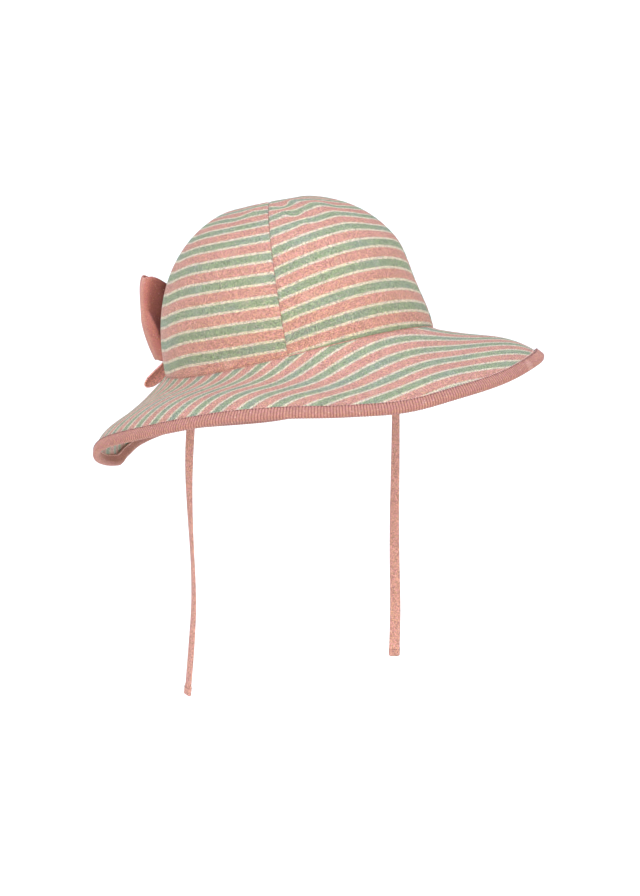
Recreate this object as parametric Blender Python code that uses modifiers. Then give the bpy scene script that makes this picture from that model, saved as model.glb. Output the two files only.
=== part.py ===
"""A toddler's swim hat of striped knit, as it is worn, in metres.

The origin is the middle of the head opening. The front of the hat faces -Y, the
wearer's right is -X and up is +Z. The whole hat is pitched back on the head, and
the two ties hang straight down from the foot of the crown. An azimuth is counted
in degrees from the front, positive towards the wearer's right.
"""

import math
from collections import namedtuple

import bmesh
import bpy
from mathutils import Matrix, Vector

# How the hat sits on the head
WORN_PITCH = 16.0  # degrees that the hat leans back

# Crown
OPENING_LENGTH = 0.1660  # outside of the crown's foot, front to back
OPENING_WIDTH = 0.1520  # outside of the crown's foot, side to side
CROWN_HEIGHT = 0.0895  # foot to apex
CROWN_WALL = 0.0018
CROWN_FULLNESS = 2.33  # 2 is a plain half ellipse, and more has fuller shoulders
DRAW_AZIMUTH = -45.0  # where the crown's wall is drawn in most above its foot
DRAW_DEPTH = 0.0030
DRAW_REACH = 0.42  # the height, as a share of the climb, where that ends
FOOT_SADDLE = 0.0030  # the foot rises this much at front and back, and falls as much at the sides
SEAM_AZIMUTH = 45.0  # the four seams stand this far from the front and from the back
SEAM_DIP = 0.0011  # how deep a seam pulls into the crown
SEAM_DIP_REACH = 0.0065  # how far from the seam the cloth still dips
SEWN_GAP = 0.0003  # between two pieces that are sewn together

# Brim and its binding
BRIM_WIDTH = 0.0665  # along the cloth, from the crown's foot to the outside of the binding
BRIM_WALL = 0.0014
BRIM_TUCK = 0.0005  # how far the brim starts inside the outside of the crown's foot
BINDING_WIDTH = 0.0048  # what shows of the binding on either face of the brim
BINDING_WALL = 0.0010

# Bow
BOW_HEIGHT = 0.0285  # middle of the bow above the foot of the crown
BOW_WALL = 0.0012
KNOT_WIDTH = 0.0130
KNOT_HEIGHT = 0.0165
KNOT_DEPTH = 0.0110
KNOT_ROUNDING = 0.0030
LOOP_REACH = 0.0450  # from the middle of the bow to the end of a loop
LOOP_HEIGHT = 0.0520
LOOP_DEPTH = 0.0125  # the two layers of a loop and the hollow between them
TAIL_WIDTH = 0.0105
TAIL_LENGTH = 0.0440
TAIL_SPREAD = 0.0046  # from the middle of the bow to the root of a tail

# Ties
TIE_WIDTH = 0.0065
TIE_WALL = 0.0013
TIE_AZIMUTH = 95.0
TIE_ROOT_HEIGHT = 0.0040  # the tie is sewn in this far above the crown's foot
TIE_HEM = 0.0060  # the end is folded over and stitched, so it is double for this length

# Mesh fineness
PANEL_COLUMNS = 14
PANEL_ROWS = 11
BRIM_COLUMNS = 90
BRIM_ROWS = 7
BINDING_ARC_STEPS = 4
LOOP_ROWS = 6
SLOPE_STEPS = 24

COLLECTION_NAME = "striped_swim_hat"

# The brim's fall, a row for each azimuth round the hat: the slope of the cloth in
# degrees where it leaves the crown, at each quarter of the brim's width and at its edge
BrimSection = namedtuple("BrimSection", "azimuth at_crown inner in_middle outer at_edge")
BRIM_SECTIONS = (
    BrimSection(-180, 42, 32, 28, 38, 60),
    BrimSection(-150, 46, 38, 34, 42, 60),
    BrimSection(-115, 42, 30, 24, 32, 54),
    BrimSection(-75, 32, 25, 22, 35, 54),
    BrimSection(-51, 22, 17, 16, 30, 48),
    BrimSection(-35, 32, 23, 18, 27, 48),
    BrimSection(-15, 42, 34, 26, 30, 52),
    BrimSection(0, 45, 37, 30, 32, 56),
    BrimSection(15, 46, 41, 33, 30, 58),
    BrimSection(30, 45, 39, 26, 22, 54),
    BrimSection(45, 41, 29, 14, 20, 52),
    BrimSection(60, 37, 17, 8, 25, 51),
    BrimSection(80, 34, 11, 13, 28, 52),
    BrimSection(100, 36, 17, 20, 29, 50),
    BrimSection(120, 42, 32, 24, 40, 110),
    BrimSection(138, 40, 36, 35, 57, 120),
    BrimSection(152, 38, 36, 34, 49, 110),
    BrimSection(165, 40, 34, 30, 39, 86),
)

# Soft dents in the crown near its apex: place, depth as a share of the crown's
# height, and how far it reaches as a share of the crown's height
CrownDent = namedtuple("CrownDent", "azimuth height depth reach")
CROWN_DENTS = (
    CrownDent(38, 0.93, 0.022, 0.13),
    CrownDent(8, 0.90, 0.016, 0.12),
    CrownDent(95, 0.86, 0.016, 0.16),
    CrownDent(-70, 0.88, 0.018, 0.15),
    CrownDent(-45, 0.72, 0.012, 0.30),
    CrownDent(165, 0.84, 0.018, 0.16),
    CrownDent(-130, 0.90, 0.016, 0.14),
)

# One half of a loop's run, from the knot out to its end, as shares of its reach,
# half its depth and half its height
LoopStation = namedtuple("LoopStation", "out depth height")
LOOP_STATIONS = (
    LoopStation(0.00, 0.30, 0.30),
    LoopStation(0.22, 0.62, 0.46),
    LoopStation(0.48, 0.96, 0.76),
    LoopStation(0.74, 1.00, 0.96),
    LoopStation(0.93, 0.66, 1.00),
    LoopStation(1.00, 0.00, 0.97),
)
LOOP_CORNER_DRAW = 0.24  # share of its reach by which a loop's lower corner lies inwards

# A tail's middle line from under the knot, as shares of its length: outwards,
# away from the crown and down, with its width as a share of the named width
TailStation = namedtuple("TailStation", "out off down width")
TAIL_STATIONS = (
    TailStation(0.00, 0.00, 0.00, 0.70),
    TailStation(0.13, 0.03, 0.17, 0.85),
    TailStation(0.28, 0.08, 0.35, 1.00),
    TailStation(0.44, 0.17, 0.53, 1.00),
    TailStation(0.59, 0.27, 0.68, 0.94),
    TailStation(0.69, 0.33, 0.77, 0.62),
)

# The ties' routes from where they leave the crown's foot, in metres, chosen by
# hand: sideways, forward or back, down, and how far the tie has turned in degrees
TIE_ROUTE_RIGHT = (
    (0.0000, 0.0000, 0.0000, 0),
    (0.0000, 0.0000, -0.0080, 0),
    (0.0002, 0.0001, -0.0200, 4),
    (-0.0005, 0.0004, -0.0330, 9),
    (-0.0012, 0.0010, -0.0480, 8),
    (-0.0016, 0.0012, -0.0640, 0),
    (-0.0014, 0.0011, -0.0800, -9),
    (-0.0010, 0.0008, -0.0950, -16),
    (-0.0005, 0.0004, -0.1100, -20),
    (-0.0001, 0.0001, -0.1260, -18),
    (-0.0002, 0.0001, -0.1420, -14),
    (-0.0008, 0.0006, -0.1560, -10),
    (-0.0016, 0.0012, -0.1690, -8),
    (-0.0023, 0.0018, -0.1800, -8),
    (-0.0030, 0.0024, -0.1900, -8),
    (-0.0035, 0.0028, -0.1960, -8),
)
TIE_ROUTE_LEFT = (
    (0.0000, 0.0000, 0.0000, 0),
    (0.0000, 0.0000, -0.0080, 0),
    (0.0008, -0.0016, -0.0200, 0),
    (0.0022, -0.0042, -0.0330, 0),
    (0.0030, -0.0052, -0.0480, 3),
    (0.0030, -0.0054, -0.0640, 6),
    (0.0029, -0.0054, -0.0800, 10),
    (0.0028, -0.0053, -0.0960, 14),
    (0.0027, -0.0052, -0.1120, 18),
    (0.0028, -0.0052, -0.1280, 23),
    (0.0030, -0.0053, -0.1440, 28),
    (0.0033, -0.0055, -0.1590, 34),
    (0.0035, -0.0056, -0.1730, 40),
    (0.0034, -0.0056, -0.1850, 46),
    (0.0032, -0.0055, -0.1960, 50),
    (0.0031, -0.0054, -0.2040, 51),
)

# Colour, roughness and metallic value of each cloth
PINK_KNIT = ("pink_glitter_knit", (0.70, 0.32, 0.26, 1.0), 0.6, 0.1)
STRIPED_KNIT = ("striped_glitter_knit", (0.62, 0.46, 0.34, 1.0), 0.6, 0.1)


def ring_value(sections, column, azimuth):
    """One column of a table of sections, smooth all the way round at any azimuth."""
    count = len(sections)
    angle = (azimuth + 180.0) % 360.0 - 180.0
    index = max(i for i in range(count) if sections[i].azimuth <= angle)

    def row(i):
        turns, place = divmod(i, count)
        section = sections[place]
        return section.azimuth + 360.0 * turns, getattr(section, column)

    (a0, v0), (a1, v1), (a2, v2), (a3, v3) = (row(index + step) for step in (-1, 0, 1, 2))
    share = (angle - a1) / (a2 - a1)
    rise_1 = (v2 - v0) / (a2 - a0) * (a2 - a1)
    rise_2 = (v3 - v1) / (a3 - a1) * (a2 - a1)
    square, cube = share**2, share**3
    return (
        v1 * (2 * cube - 3 * square + 1)
        + v2 * (3 * square - 2 * cube)
        + rise_1 * (cube - 2 * square + share)
        + rise_2 * (cube - square)
    )


def smooth_between(before, start, end, after, share):
    """A value between start and end on a smooth curve through four values or points."""
    return 0.5 * (
        2 * start
        + (end - before) * share
        + (2 * before - 5 * start + 4 * end - after) * share**2
        + (3 * start - before - 3 * end + after) * share**3
    )


def smooth_route(points, steps):
    """Points along a smooth curve through the given ones, with steps on each stretch."""
    ends = [points[0] * 2 - points[1], *points, points[-1] * 2 - points[-2]]
    curve = []
    for index in range(len(points) - 1):
        curve += [smooth_between(*ends[index : index + 4], step / steps) for step in range(steps)]
    return [*curve, points[-1].copy()]


def drawn_in(azimuth, height):
    """How far the crown's wall is drawn in at an azimuth and a height."""
    facing = max(0.0, math.cos(math.radians(azimuth - DRAW_AZIMUTH)))
    return DRAW_DEPTH * facing**2 * math.sin(math.pi * min(height / DRAW_REACH, 1.0)) ** 2


def crown_point(azimuth, height):
    """A point on the outside of the crown, with height as a share of the arc to the apex."""
    turn, climb = math.radians(azimuth), math.radians(90.0 * height)
    across_share, up_share = max(math.cos(climb), 0.0), math.sin(climb)
    swell = (across_share**CROWN_FULLNESS + up_share**CROWN_FULLNESS) ** (-1.0 / CROWN_FULLNESS)
    reach = across_share * swell
    x = -0.5 * OPENING_WIDTH * math.sin(turn) * reach
    y = -0.5 * OPENING_LENGTH * math.cos(turn) * reach
    radius = math.hypot(x, y)
    nearest_seam = 90.0 * round((azimuth - SEAM_AZIMUTH) / 90.0) + SEAM_AZIMUTH
    off_seam = radius * math.radians(azimuth - nearest_seam)
    dip = SEAM_DIP * math.exp(-((off_seam / SEAM_DIP_REACH) ** 2)) * across_share + drawn_in(azimuth, height)
    sink = 0.0
    for dent in CROWN_DENTS:
        across = math.radians((azimuth - dent.azimuth + 180.0) % 360.0 - 180.0) * radius
        along = math.radians(90.0) * (height - dent.height) * CROWN_HEIGHT
        far = math.hypot(across, along) / (dent.reach * CROWN_HEIGHT)
        sink += dent.depth * CROWN_HEIGHT * math.exp(-(far**2))
    scale = 1.0 - dip / max(radius, SEAM_DIP_REACH)
    saddle = FOOT_SADDLE * math.cos(2.0 * turn) * across_share**2
    return Vector((x * scale, y * scale, CROWN_HEIGHT * up_share * swell + saddle - sink))


def outward(azimuth):
    """The level direction square to the crown's foot at an azimuth."""
    turn = math.radians(azimuth)
    return Vector((-math.sin(turn) / OPENING_WIDTH, -math.cos(turn) / OPENING_LENGTH, 0)).normalized()


def brim_sheet_width():
    """The width of the brim's own sheet, which ends inside the fold of the binding."""
    return BRIM_WIDTH - BINDING_WALL - SEWN_GAP


def brim_slope(slopes, share):
    """The slope of the cloth in radians at a share of the brim's width, from its quarters."""
    ends = [slopes[0] * 2 - slopes[1], *slopes, slopes[-1] * 2 - slopes[-2]]
    quarter = min(int(share * (len(slopes) - 1)), len(slopes) - 2)
    past = share * (len(slopes) - 1) - quarter
    return math.radians(smooth_between(*ends[quarter : quarter + 4], past))


def brim_place(azimuth, along, lift):
    """A point of the brim: so far along its cloth from the foot, and lifted off its middle."""
    slopes = [ring_value(BRIM_SECTIONS, column, azimuth) for column in BrimSection._fields[1:]]
    sheet = brim_sheet_width()
    inside = min(along, sheet)
    reach, fall = 0.0, 0.0
    for step in range(SLOPE_STEPS):
        slope = brim_slope(slopes, (step + 0.5) / SLOPE_STEPS * inside / sheet)
        reach += math.cos(slope) * inside / SLOPE_STEPS
        fall += math.sin(slope) * inside / SLOPE_STEPS
    slope = brim_slope(slopes, inside / sheet)
    past = along - inside
    reach += past * math.cos(slope) + lift * math.sin(slope)
    fall += past * math.sin(slope) - lift * math.cos(slope)
    foot = crown_point(azimuth, 0.0) - outward(azimuth) * BRIM_TUCK
    start = SEWN_GAP + 0.5 * BRIM_WALL
    return foot + outward(azimuth) * reach - Vector((0, 0, fall + start))


def worn_turn():
    """The rotation that leans the hat back on the head."""
    return Matrix.Rotation(math.radians(-WORN_PITCH), 4, "X")


def make_material(look):
    """A Principled material from a name, a colour, a roughness and a metallic value."""
    name, colour, roughness, metallic = look
    material = bpy.data.materials.get(name) or bpy.data.materials.new(name)
    material.use_nodes = True
    shader = material.node_tree.nodes["Principled BSDF"]
    shader.inputs["Base Color"].default_value = colour
    shader.inputs["Roughness"].default_value = roughness
    shader.inputs["Metallic"].default_value = metallic
    material.diffuse_color = colour
    return material


def add_object(name, mesh, look, parent=None):
    """Put a mesh into the hat's collection as a smooth named object."""
    mesh.materials.append(make_material(look))
    piece = bpy.data.objects.new(name, mesh)
    bpy.data.collections[COLLECTION_NAME].objects.link(piece)
    piece.parent = parent
    mesh.shade_smooth()
    return piece


def bent_grid(name, columns, rows, place):
    """A grid whose points are moved to place(u, v), with its meeting points merged."""
    grid = bmesh.new()
    bmesh.ops.create_grid(grid, x_segments=columns, y_segments=rows, size=0.5)
    for point in grid.verts:
        point.co = place(round(point.co.x + 0.5, 6), round(point.co.y + 0.5, 6))
    bmesh.ops.remove_doubles(grid, verts=grid.verts, dist=1e-6)
    mesh = bpy.data.meshes.new(name)
    grid.to_mesh(mesh)
    grid.free()
    return mesh


def add_wall(piece, thickness, offset):
    """Give an open surface its thickness: offset -1 grows it behind its face, 0 both ways."""
    wall = piece.modifiers.new("wall", "SOLIDIFY")
    wall.thickness = thickness
    wall.offset = offset
    wall.use_even_offset = False


def add_crown_panel(name, middle, parent):
    """One gore of the crown, from seam to seam about its middle azimuth."""
    half_turn = SEAM_AZIMUTH if middle % 180.0 == 0.0 else 90.0 - SEAM_AZIMUTH
    seam_line = crown_point(middle + half_turn, 0.0)
    middle_line = crown_point(middle, 0.0)
    half_angle = seam_line.xy.angle(middle_line.xy)
    shift = middle_line.xy.normalized().to_3d() * (0.5 * SEWN_GAP / math.sin(half_angle))

    def place(u, v):
        across = math.sin(math.pi * (u - 0.5))  # columns lie closer near the seams
        return crown_point(middle - across * half_turn, v) + shift

    mesh = bent_grid(name, PANEL_COLUMNS, PANEL_ROWS, place)
    piece = add_object(name, mesh, STRIPED_KNIT, parent)
    add_wall(piece, CROWN_WALL, -1.0)
    return piece


def add_brim(parent):
    """The brim's one ring of cloth, from under the crown's foot into the binding."""
    sheet = brim_sheet_width()
    open_width = sheet - BINDING_WIDTH
    rows = [sheet - share * BINDING_WIDTH for share in (0.0, 0.5)]
    rows += [open_width * (1.0 - row / BRIM_ROWS) for row in range(BRIM_ROWS + 1)]
    last = len(rows) - 1

    def place(u, v):
        return brim_place(180.0 - 360.0 * (u % 1.0), rows[round(v * last)], 0.0)

    piece = add_object("brim", bent_grid("brim", BRIM_COLUMNS, last, place), STRIPED_KNIT, parent)
    add_wall(piece, BRIM_WALL, 0.0)
    return piece


def add_binding(parent):
    """The strip that is folded round the brim's edge, a channel in section."""
    sheet = brim_sheet_width()
    standoff = 0.5 * BRIM_WALL + SEWN_GAP + 0.5 * BINDING_WALL
    section = [(sheet - share * BINDING_WIDTH, -standoff) for share in (1.0, 0.5)]
    for step in range(BINDING_ARC_STEPS + 1):
        turn = math.pi * (step / BINDING_ARC_STEPS - 0.5)
        section.append((sheet + standoff * math.cos(turn), standoff * math.sin(turn)))
    section += [(sheet - share * BINDING_WIDTH, standoff) for share in (0.5, 1.0)]
    last = len(section) - 1

    def place(u, v):
        along, lift = section[round(v * last)]
        return brim_place(180.0 - 360.0 * (u % 1.0), along, lift)

    mesh = bent_grid("brim_binding", BRIM_COLUMNS, last, place)
    piece = add_object("brim_binding", mesh, PINK_KNIT, parent)
    add_wall(piece, BINDING_WALL, 0.0)
    return piece


def bow_height_share():
    """Where the bow sits on the crown, as a share of the arc to the apex."""
    up_share = BOW_HEIGHT / CROWN_HEIGHT
    across_share = (1.0 - up_share**CROWN_FULLNESS) ** (1.0 / CROWN_FULLNESS)
    return math.degrees(math.atan2(up_share, across_share)) / 90.0


def bow_middle():
    """How far the middle of the bow's depth stands off the crown."""
    return SEWN_GAP + 0.5 * KNOT_DEPTH


def add_bow_seat(parent):
    """An empty on the back of the crown, with +Y square to the cloth."""
    height = bow_height_share()
    here = crown_point(180.0, height)
    climb = crown_point(180.0, height + 0.02) - crown_point(180.0, height - 0.02)
    seat = bpy.data.objects.new("bow_seat", None)
    bpy.data.collections[COLLECTION_NAME].objects.link(seat)
    seat.parent = parent
    seat.location = here
    seat.rotation_euler = (math.atan2(-climb.y, climb.z), 0.0, 0.0)
    return seat


def add_knot(seat):
    """The small band that gathers the two loops."""
    form = bmesh.new()
    bmesh.ops.create_cube(form, size=1.0)
    size = Vector((KNOT_WIDTH, KNOT_DEPTH, KNOT_HEIGHT))
    for point in form.verts:
        point.co = Vector(a * b for a, b in zip(point.co, size)) + Vector((0, bow_middle(), 0))
    mesh = bpy.data.meshes.new("bow_knot")
    form.to_mesh(mesh)
    form.free()
    piece = add_object("bow_knot", mesh, PINK_KNIT, seat)
    rounding = piece.modifiers.new("rounding", "BEVEL")
    rounding.width = KNOT_ROUNDING
    rounding.segments = 3
    return piece


def add_loop(name, side, seat):
    """One folded band of the bow, from the knot out to its end and back."""
    start = 0.5 * KNOT_WIDTH + SEWN_GAP
    half_run = [Vector((s.out, s.depth, s.height)) for s in LOOP_STATIONS]
    out_run = smooth_route(half_run, 2)
    run = [Vector((p.x, -p.y, p.z)) for p in out_run] + list(reversed(out_run))[1:]
    last = len(run) - 1

    def place(u, v):
        station = run[round((u if side > 0 else 1.0 - u) * last)]
        tall = 2.0 * v - 1.0
        draw = 1.0 - LOOP_CORNER_DRAW * max(0.0, -tall) ** 1.5
        out = start + (LOOP_REACH - start - 0.5 * BOW_WALL) * station.x * draw
        off = bow_middle() + 0.5 * (LOOP_DEPTH - BOW_WALL) * station.y
        return Vector((side * out, off, 0.5 * LOOP_HEIGHT * station.z * tall))

    piece = add_object(name, bent_grid(name, last, LOOP_ROWS, place), PINK_KNIT, seat)
    add_wall(piece, BOW_WALL, 0.0)
    return piece


def strap_mesh(name, route, breadths, columns):
    """A flat strip along a route, with its half breadth as a vector at each point."""
    last = len(route) - 1

    def place(u, v):
        index = round(v * last)
        return route[index] + breadths[index] * (2.0 * u - 1.0)

    return bent_grid(name, columns, last, place)


def add_tail(name, side, seat):
    """One short strip of the bow with a round end, from under the knot."""
    stations = [Vector((s.out, s.off, s.down)) * TAIL_LENGTH for s in TAIL_STATIONS]
    below = 0.5 * KNOT_HEIGHT + SEWN_GAP + 0.5 * BOW_WALL
    start = Vector((TAIL_SPREAD, bow_middle(), -below))
    route = [start + Vector((p.x, p.y, -p.z)) for p in stations]
    breadths = []
    for index, station in enumerate(TAIL_STATIONS):
        run = route[min(index + 1, len(route) - 1)] - route[max(index - 1, 0)]
        across = run.cross(Vector((0, 1, 0))).normalized()
        breadths.append(across * (0.5 * TAIL_WIDTH * station.width))
    route = [Vector((side * p.x, p.y, p.z)) for p in smooth_route(route, 2)]
    breadths = [Vector((side * b.x, b.y, b.z)) for b in smooth_route(breadths, 2)]
    piece = add_object(name, strap_mesh(name, route, breadths, 3), PINK_KNIT, seat)
    add_wall(piece, BOW_WALL, 0.0)
    return piece


def tie_exit(side):
    """Where a tie starts, against the inside of the crown just above its foot."""
    azimuth = side * TIE_AZIMUTH
    inset = CROWN_WALL + 2.0 * SEWN_GAP + 0.5 * TIE_WALL
    foot = crown_point(azimuth, 0.0) - outward(azimuth) * inset
    return worn_turn() @ (foot + Vector((0, 0, TIE_ROOT_HEIGHT)))


def add_tie(name, side, hand_route):
    """One narrow strip that hangs from the crown's foot, turned as the photograph shows."""
    root = tie_exit(side)
    turns = [Vector((turn, 0, 0)) for _, _, _, turn in hand_route]
    route = smooth_route([root + Vector(p[:3]) for p in hand_route], 2)
    breadths = []
    for turn in smooth_route(turns, 2):
        angle = math.radians(turn.x)
        breadths.append(Vector((math.sin(angle), -math.cos(angle), 0)) * 0.5 * TIE_WIDTH)
    piece = add_object(name, strap_mesh(name, route, breadths, 2), PINK_KNIT)
    hem = piece.vertex_groups.new(name="folded_end")
    hem_top = route[-1].z + TIE_HEM
    hem.add([point.index for point in piece.data.vertices if point.co.z <= hem_top], 1.0, "REPLACE")
    add_wall(piece, 2.0 * TIE_WALL, 0.0)
    piece.modifiers["wall"].vertex_group = hem.name
    piece.modifiers["wall"].thickness_vertex_group = 0.5
    return piece


def main():
    """Build the hat from an empty scene."""
    for leftover in list(bpy.data.objects):
        bpy.data.objects.remove(leftover, do_unlink=True)
    collection = bpy.data.collections.new(COLLECTION_NAME)
    bpy.context.scene.collection.children.link(collection)
    lean = bpy.data.objects.new("worn_lean", None)
    collection.objects.link(lean)
    lean.rotation_euler = (math.radians(-WORN_PITCH), 0.0, 0.0)

    add_crown_panel("crown_front", 0.0, lean)
    add_crown_panel("crown_right", 90.0, lean)
    add_crown_panel("crown_back", 180.0, lean)
    add_crown_panel("crown_left", -90.0, lean)
    add_brim(lean)
    add_binding(lean)
    seat = add_bow_seat(lean)
    add_knot(seat)
    add_loop("bow_loop_right", -1, seat)
    add_loop("bow_loop_left", 1, seat)
    add_tail("bow_tail_right", -1, seat)
    add_tail("bow_tail_left", 1, seat)
    add_tie("tie_right", 1, TIE_ROUTE_RIGHT)
    add_tie("tie_left", -1, TIE_ROUTE_LEFT)


main()
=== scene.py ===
"""The looks of a toddler's striped swim hat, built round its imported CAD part.

Lengths are metres in the part's own frame: the front of the hat faces -Y, the wearer's
right is -X, up is +Z and the origin is the middle of the head opening. Shapes are worked
out in the hat's frame, before it leans back on the head, and are then turned to the part's.
An azimuth is counted in degrees from the front, positive towards the wearer's right.
Every cloth carries a UV map in millimetres, x along its stripes and y across them, so
that stripes, knitted loops and ribs follow the cloth.
"""

import logging
import math
from dataclasses import dataclass
from enum import Enum
from typing import Any, Mapping, NamedTuple, Sequence

import bmesh
import bpy
import numpy as np
from mathutils import Matrix, Vector


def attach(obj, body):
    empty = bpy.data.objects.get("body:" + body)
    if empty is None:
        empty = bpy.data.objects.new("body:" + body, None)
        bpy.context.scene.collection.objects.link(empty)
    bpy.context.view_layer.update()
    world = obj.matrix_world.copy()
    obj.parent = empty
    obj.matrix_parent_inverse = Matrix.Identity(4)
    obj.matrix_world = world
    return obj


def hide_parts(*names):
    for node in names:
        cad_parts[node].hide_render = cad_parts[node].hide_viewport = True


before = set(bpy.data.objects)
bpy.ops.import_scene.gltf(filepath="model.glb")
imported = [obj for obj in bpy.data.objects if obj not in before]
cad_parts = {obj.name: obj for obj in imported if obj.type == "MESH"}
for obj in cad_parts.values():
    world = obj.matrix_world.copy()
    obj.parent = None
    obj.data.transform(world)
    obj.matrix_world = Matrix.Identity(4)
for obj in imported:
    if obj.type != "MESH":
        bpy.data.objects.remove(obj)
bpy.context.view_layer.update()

LOG = logging.getLogger("swim_hat")
MM = 0.001
CLOTH_MAP = "cloth"
BODY = "root"
RIB_PITCH = 1.70  # millimetres along the binding from one rib to the next
RIB_SLANT = -0.15  # how far a rib leans along the binding for each millimetre across it
Colour = tuple[float, float, float, float]
Values = Mapping[str, Any]


class Slot(Enum):
    """The material slots that the part's record names."""

    STRIPED = "striped_knit"
    PINK = "pink_knit"


class Side(Enum):
    """The wearer's side of a paired piece, by the sign of its azimuth."""

    RIGHT = 1
    LEFT = -1


class NodeKit:
    """Adds nodes to a tree with their settings and sockets in one call."""

    def __init__(self, tree: bpy.types.NodeTree) -> None:
        """Keep the tree that the nodes go into."""
        self.tree = tree

    def node(
        self,
        kind: str,
        settings: Values | None = None,
        sockets: Values | None = None,
    ) -> bpy.types.Node:
        """Add one node.

        Args:
            kind: the node's type.
            settings: the node's own properties, set first.
            sockets: values, sockets or fields by the input's identifier.

        Returns:
            The new node.
        """
        node = self.tree.nodes.new(kind)
        for name, value in (settings or {}).items():
            setattr(node, name, value)
        for name, value in (sockets or {}).items():
            socket = next(s for s in node.inputs if s.identifier == name)
            self.feed(socket, value)
        return node

    def feed(self, socket: bpy.types.NodeSocket, value: Any) -> None:
        """Link a socket or a field into a socket, or set its value.

        Args:
            socket: the input.
            value: a field, an output or a plain value.
        """
        if isinstance(value, Field):
            value = value.socket
        if isinstance(value, bpy.types.NodeSocket):
            self.tree.links.new(value, socket)
        else:
            socket.default_value = value

    def dress(self, shader: bpy.types.Node, inputs: Values) -> None:
        """Feed several inputs of a shader by their names."""
        for name, value in inputs.items():
            self.feed(shader.inputs[name], value)

    def field(
        self,
        kind: str,
        settings: Values | None = None,
        sockets: Values | None = None,
        output: str | int = 0,
    ) -> "Field":
        """Add one node and return one of its outputs as a field."""
        return Field(self, self.node(kind, settings, sockets).outputs[output])

    def math(self, operation: str, *values: Any) -> "Field":
        """Add one Math node on up to three values or fields."""
        names = ("Value", "Value_001", "Value_002")
        return self.field("ShaderNodeMath", {"operation": operation}, dict(zip(names, values)))

    def scaled(self, vector: Any, factor: Any) -> "Field":
        """A vector or a colour times a number."""
        return self.field("ShaderNodeVectorMath", {"operation": "SCALE"}, {"Vector": vector, "Scale": factor})

    def blend(self, factor: Any, first: Any, second: Any) -> "Field":
        """Mix two colours, with factor 1 giving the second."""
        sockets = {"Factor_Float": factor, "A_Color": first, "B_Color": second}
        return self.field("ShaderNodeMix", {"data_type": "RGBA"}, sockets, 2)

    def rise(self, value: Any, low: float, high: float) -> "Field":
        """A smooth step of a value from 0 at low to 1 at high."""
        sockets = {"Value": value, "From Min": low, "From Max": high}
        return self.field("ShaderNodeMapRange", {"interpolation_type": "SMOOTHSTEP"}, sockets)

    def noise(self, place: Any, scale: float, detail: float = 2.0) -> "Field":
        """Soft noise round one half over a place."""
        return self.field("ShaderNodeTexNoise", None, {"Vector": place, "Scale": scale, "Detail": detail})

    def clouded(self, colour: Any, clouds: "Field", depth: float) -> "Field":
        """A colour made lighter and darker by a share, by a noise round one half."""
        base = colour[:3] if isinstance(colour, tuple) else colour
        return self.scaled(base, (clouds - 0.5) * (2.0 * depth) + 1.0)

    def bump(self, height: "Field", strength: float, distance: float) -> "Field":
        """The normal of a surface with a fine relief."""
        sockets = {"Strength": strength, "Distance": distance, "Height": height}
        return self.field("ShaderNodeBump", None, sockets, "Normal")

    def object_place(self) -> "Field":
        """The place in the part's own frame, in metres."""
        return self.field("ShaderNodeTexCoord", output="Object")


class Field:
    """A node socket on which Python's operators add Math nodes."""

    def __init__(self, kit: NodeKit, socket: bpy.types.NodeSocket) -> None:
        """Wrap one output socket."""
        self.kit = kit
        self.socket = socket

    def __add__(self, other: Any) -> "Field":
        """Sum."""
        return self.kit.math("ADD", self, other)

    __radd__ = __add__

    def __sub__(self, other: Any) -> "Field":
        """Difference."""
        return self.kit.math("SUBTRACT", self, other)

    def __rsub__(self, other: Any) -> "Field":
        """Difference from a number."""
        return self.kit.math("SUBTRACT", other, self)

    def __mul__(self, other: Any) -> "Field":
        """Product."""
        return self.kit.math("MULTIPLY", self, other)

    __rmul__ = __mul__

    def __truediv__(self, other: Any) -> "Field":
        """Quotient."""
        return self.kit.math("DIVIDE", self, other)

    def __abs__(self) -> "Field":
        """Size without its sign."""
        return self.kit.math("ABSOLUTE", self)

    def floor(self) -> "Field":
        """The whole number below."""
        return self.kit.math("FLOOR", self)

    def past_whole(self) -> "Field":
        """What is left over the whole number below, also where it is negative."""
        return self - self.floor()

    def sine(self) -> "Field":
        """Sine of an angle in radians."""
        return self.kit.math("SINE", self)


def new_material(name: str) -> tuple[bpy.types.Material, NodeKit, bpy.types.Node]:
    """Start a material.

    Args:
        name: the material's name.
    """
    material = bpy.data.materials.new(name)
    material.use_nodes = True
    return material, NodeKit(material.node_tree), material.node_tree.nodes["Principled BSDF"]


class ClothPlace(NamedTuple):
    """A place on the cloth in millimetres; stepped is the way across, by whole knitted loops."""

    place: Field
    along: Field
    across: Field
    stepped: Field


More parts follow.
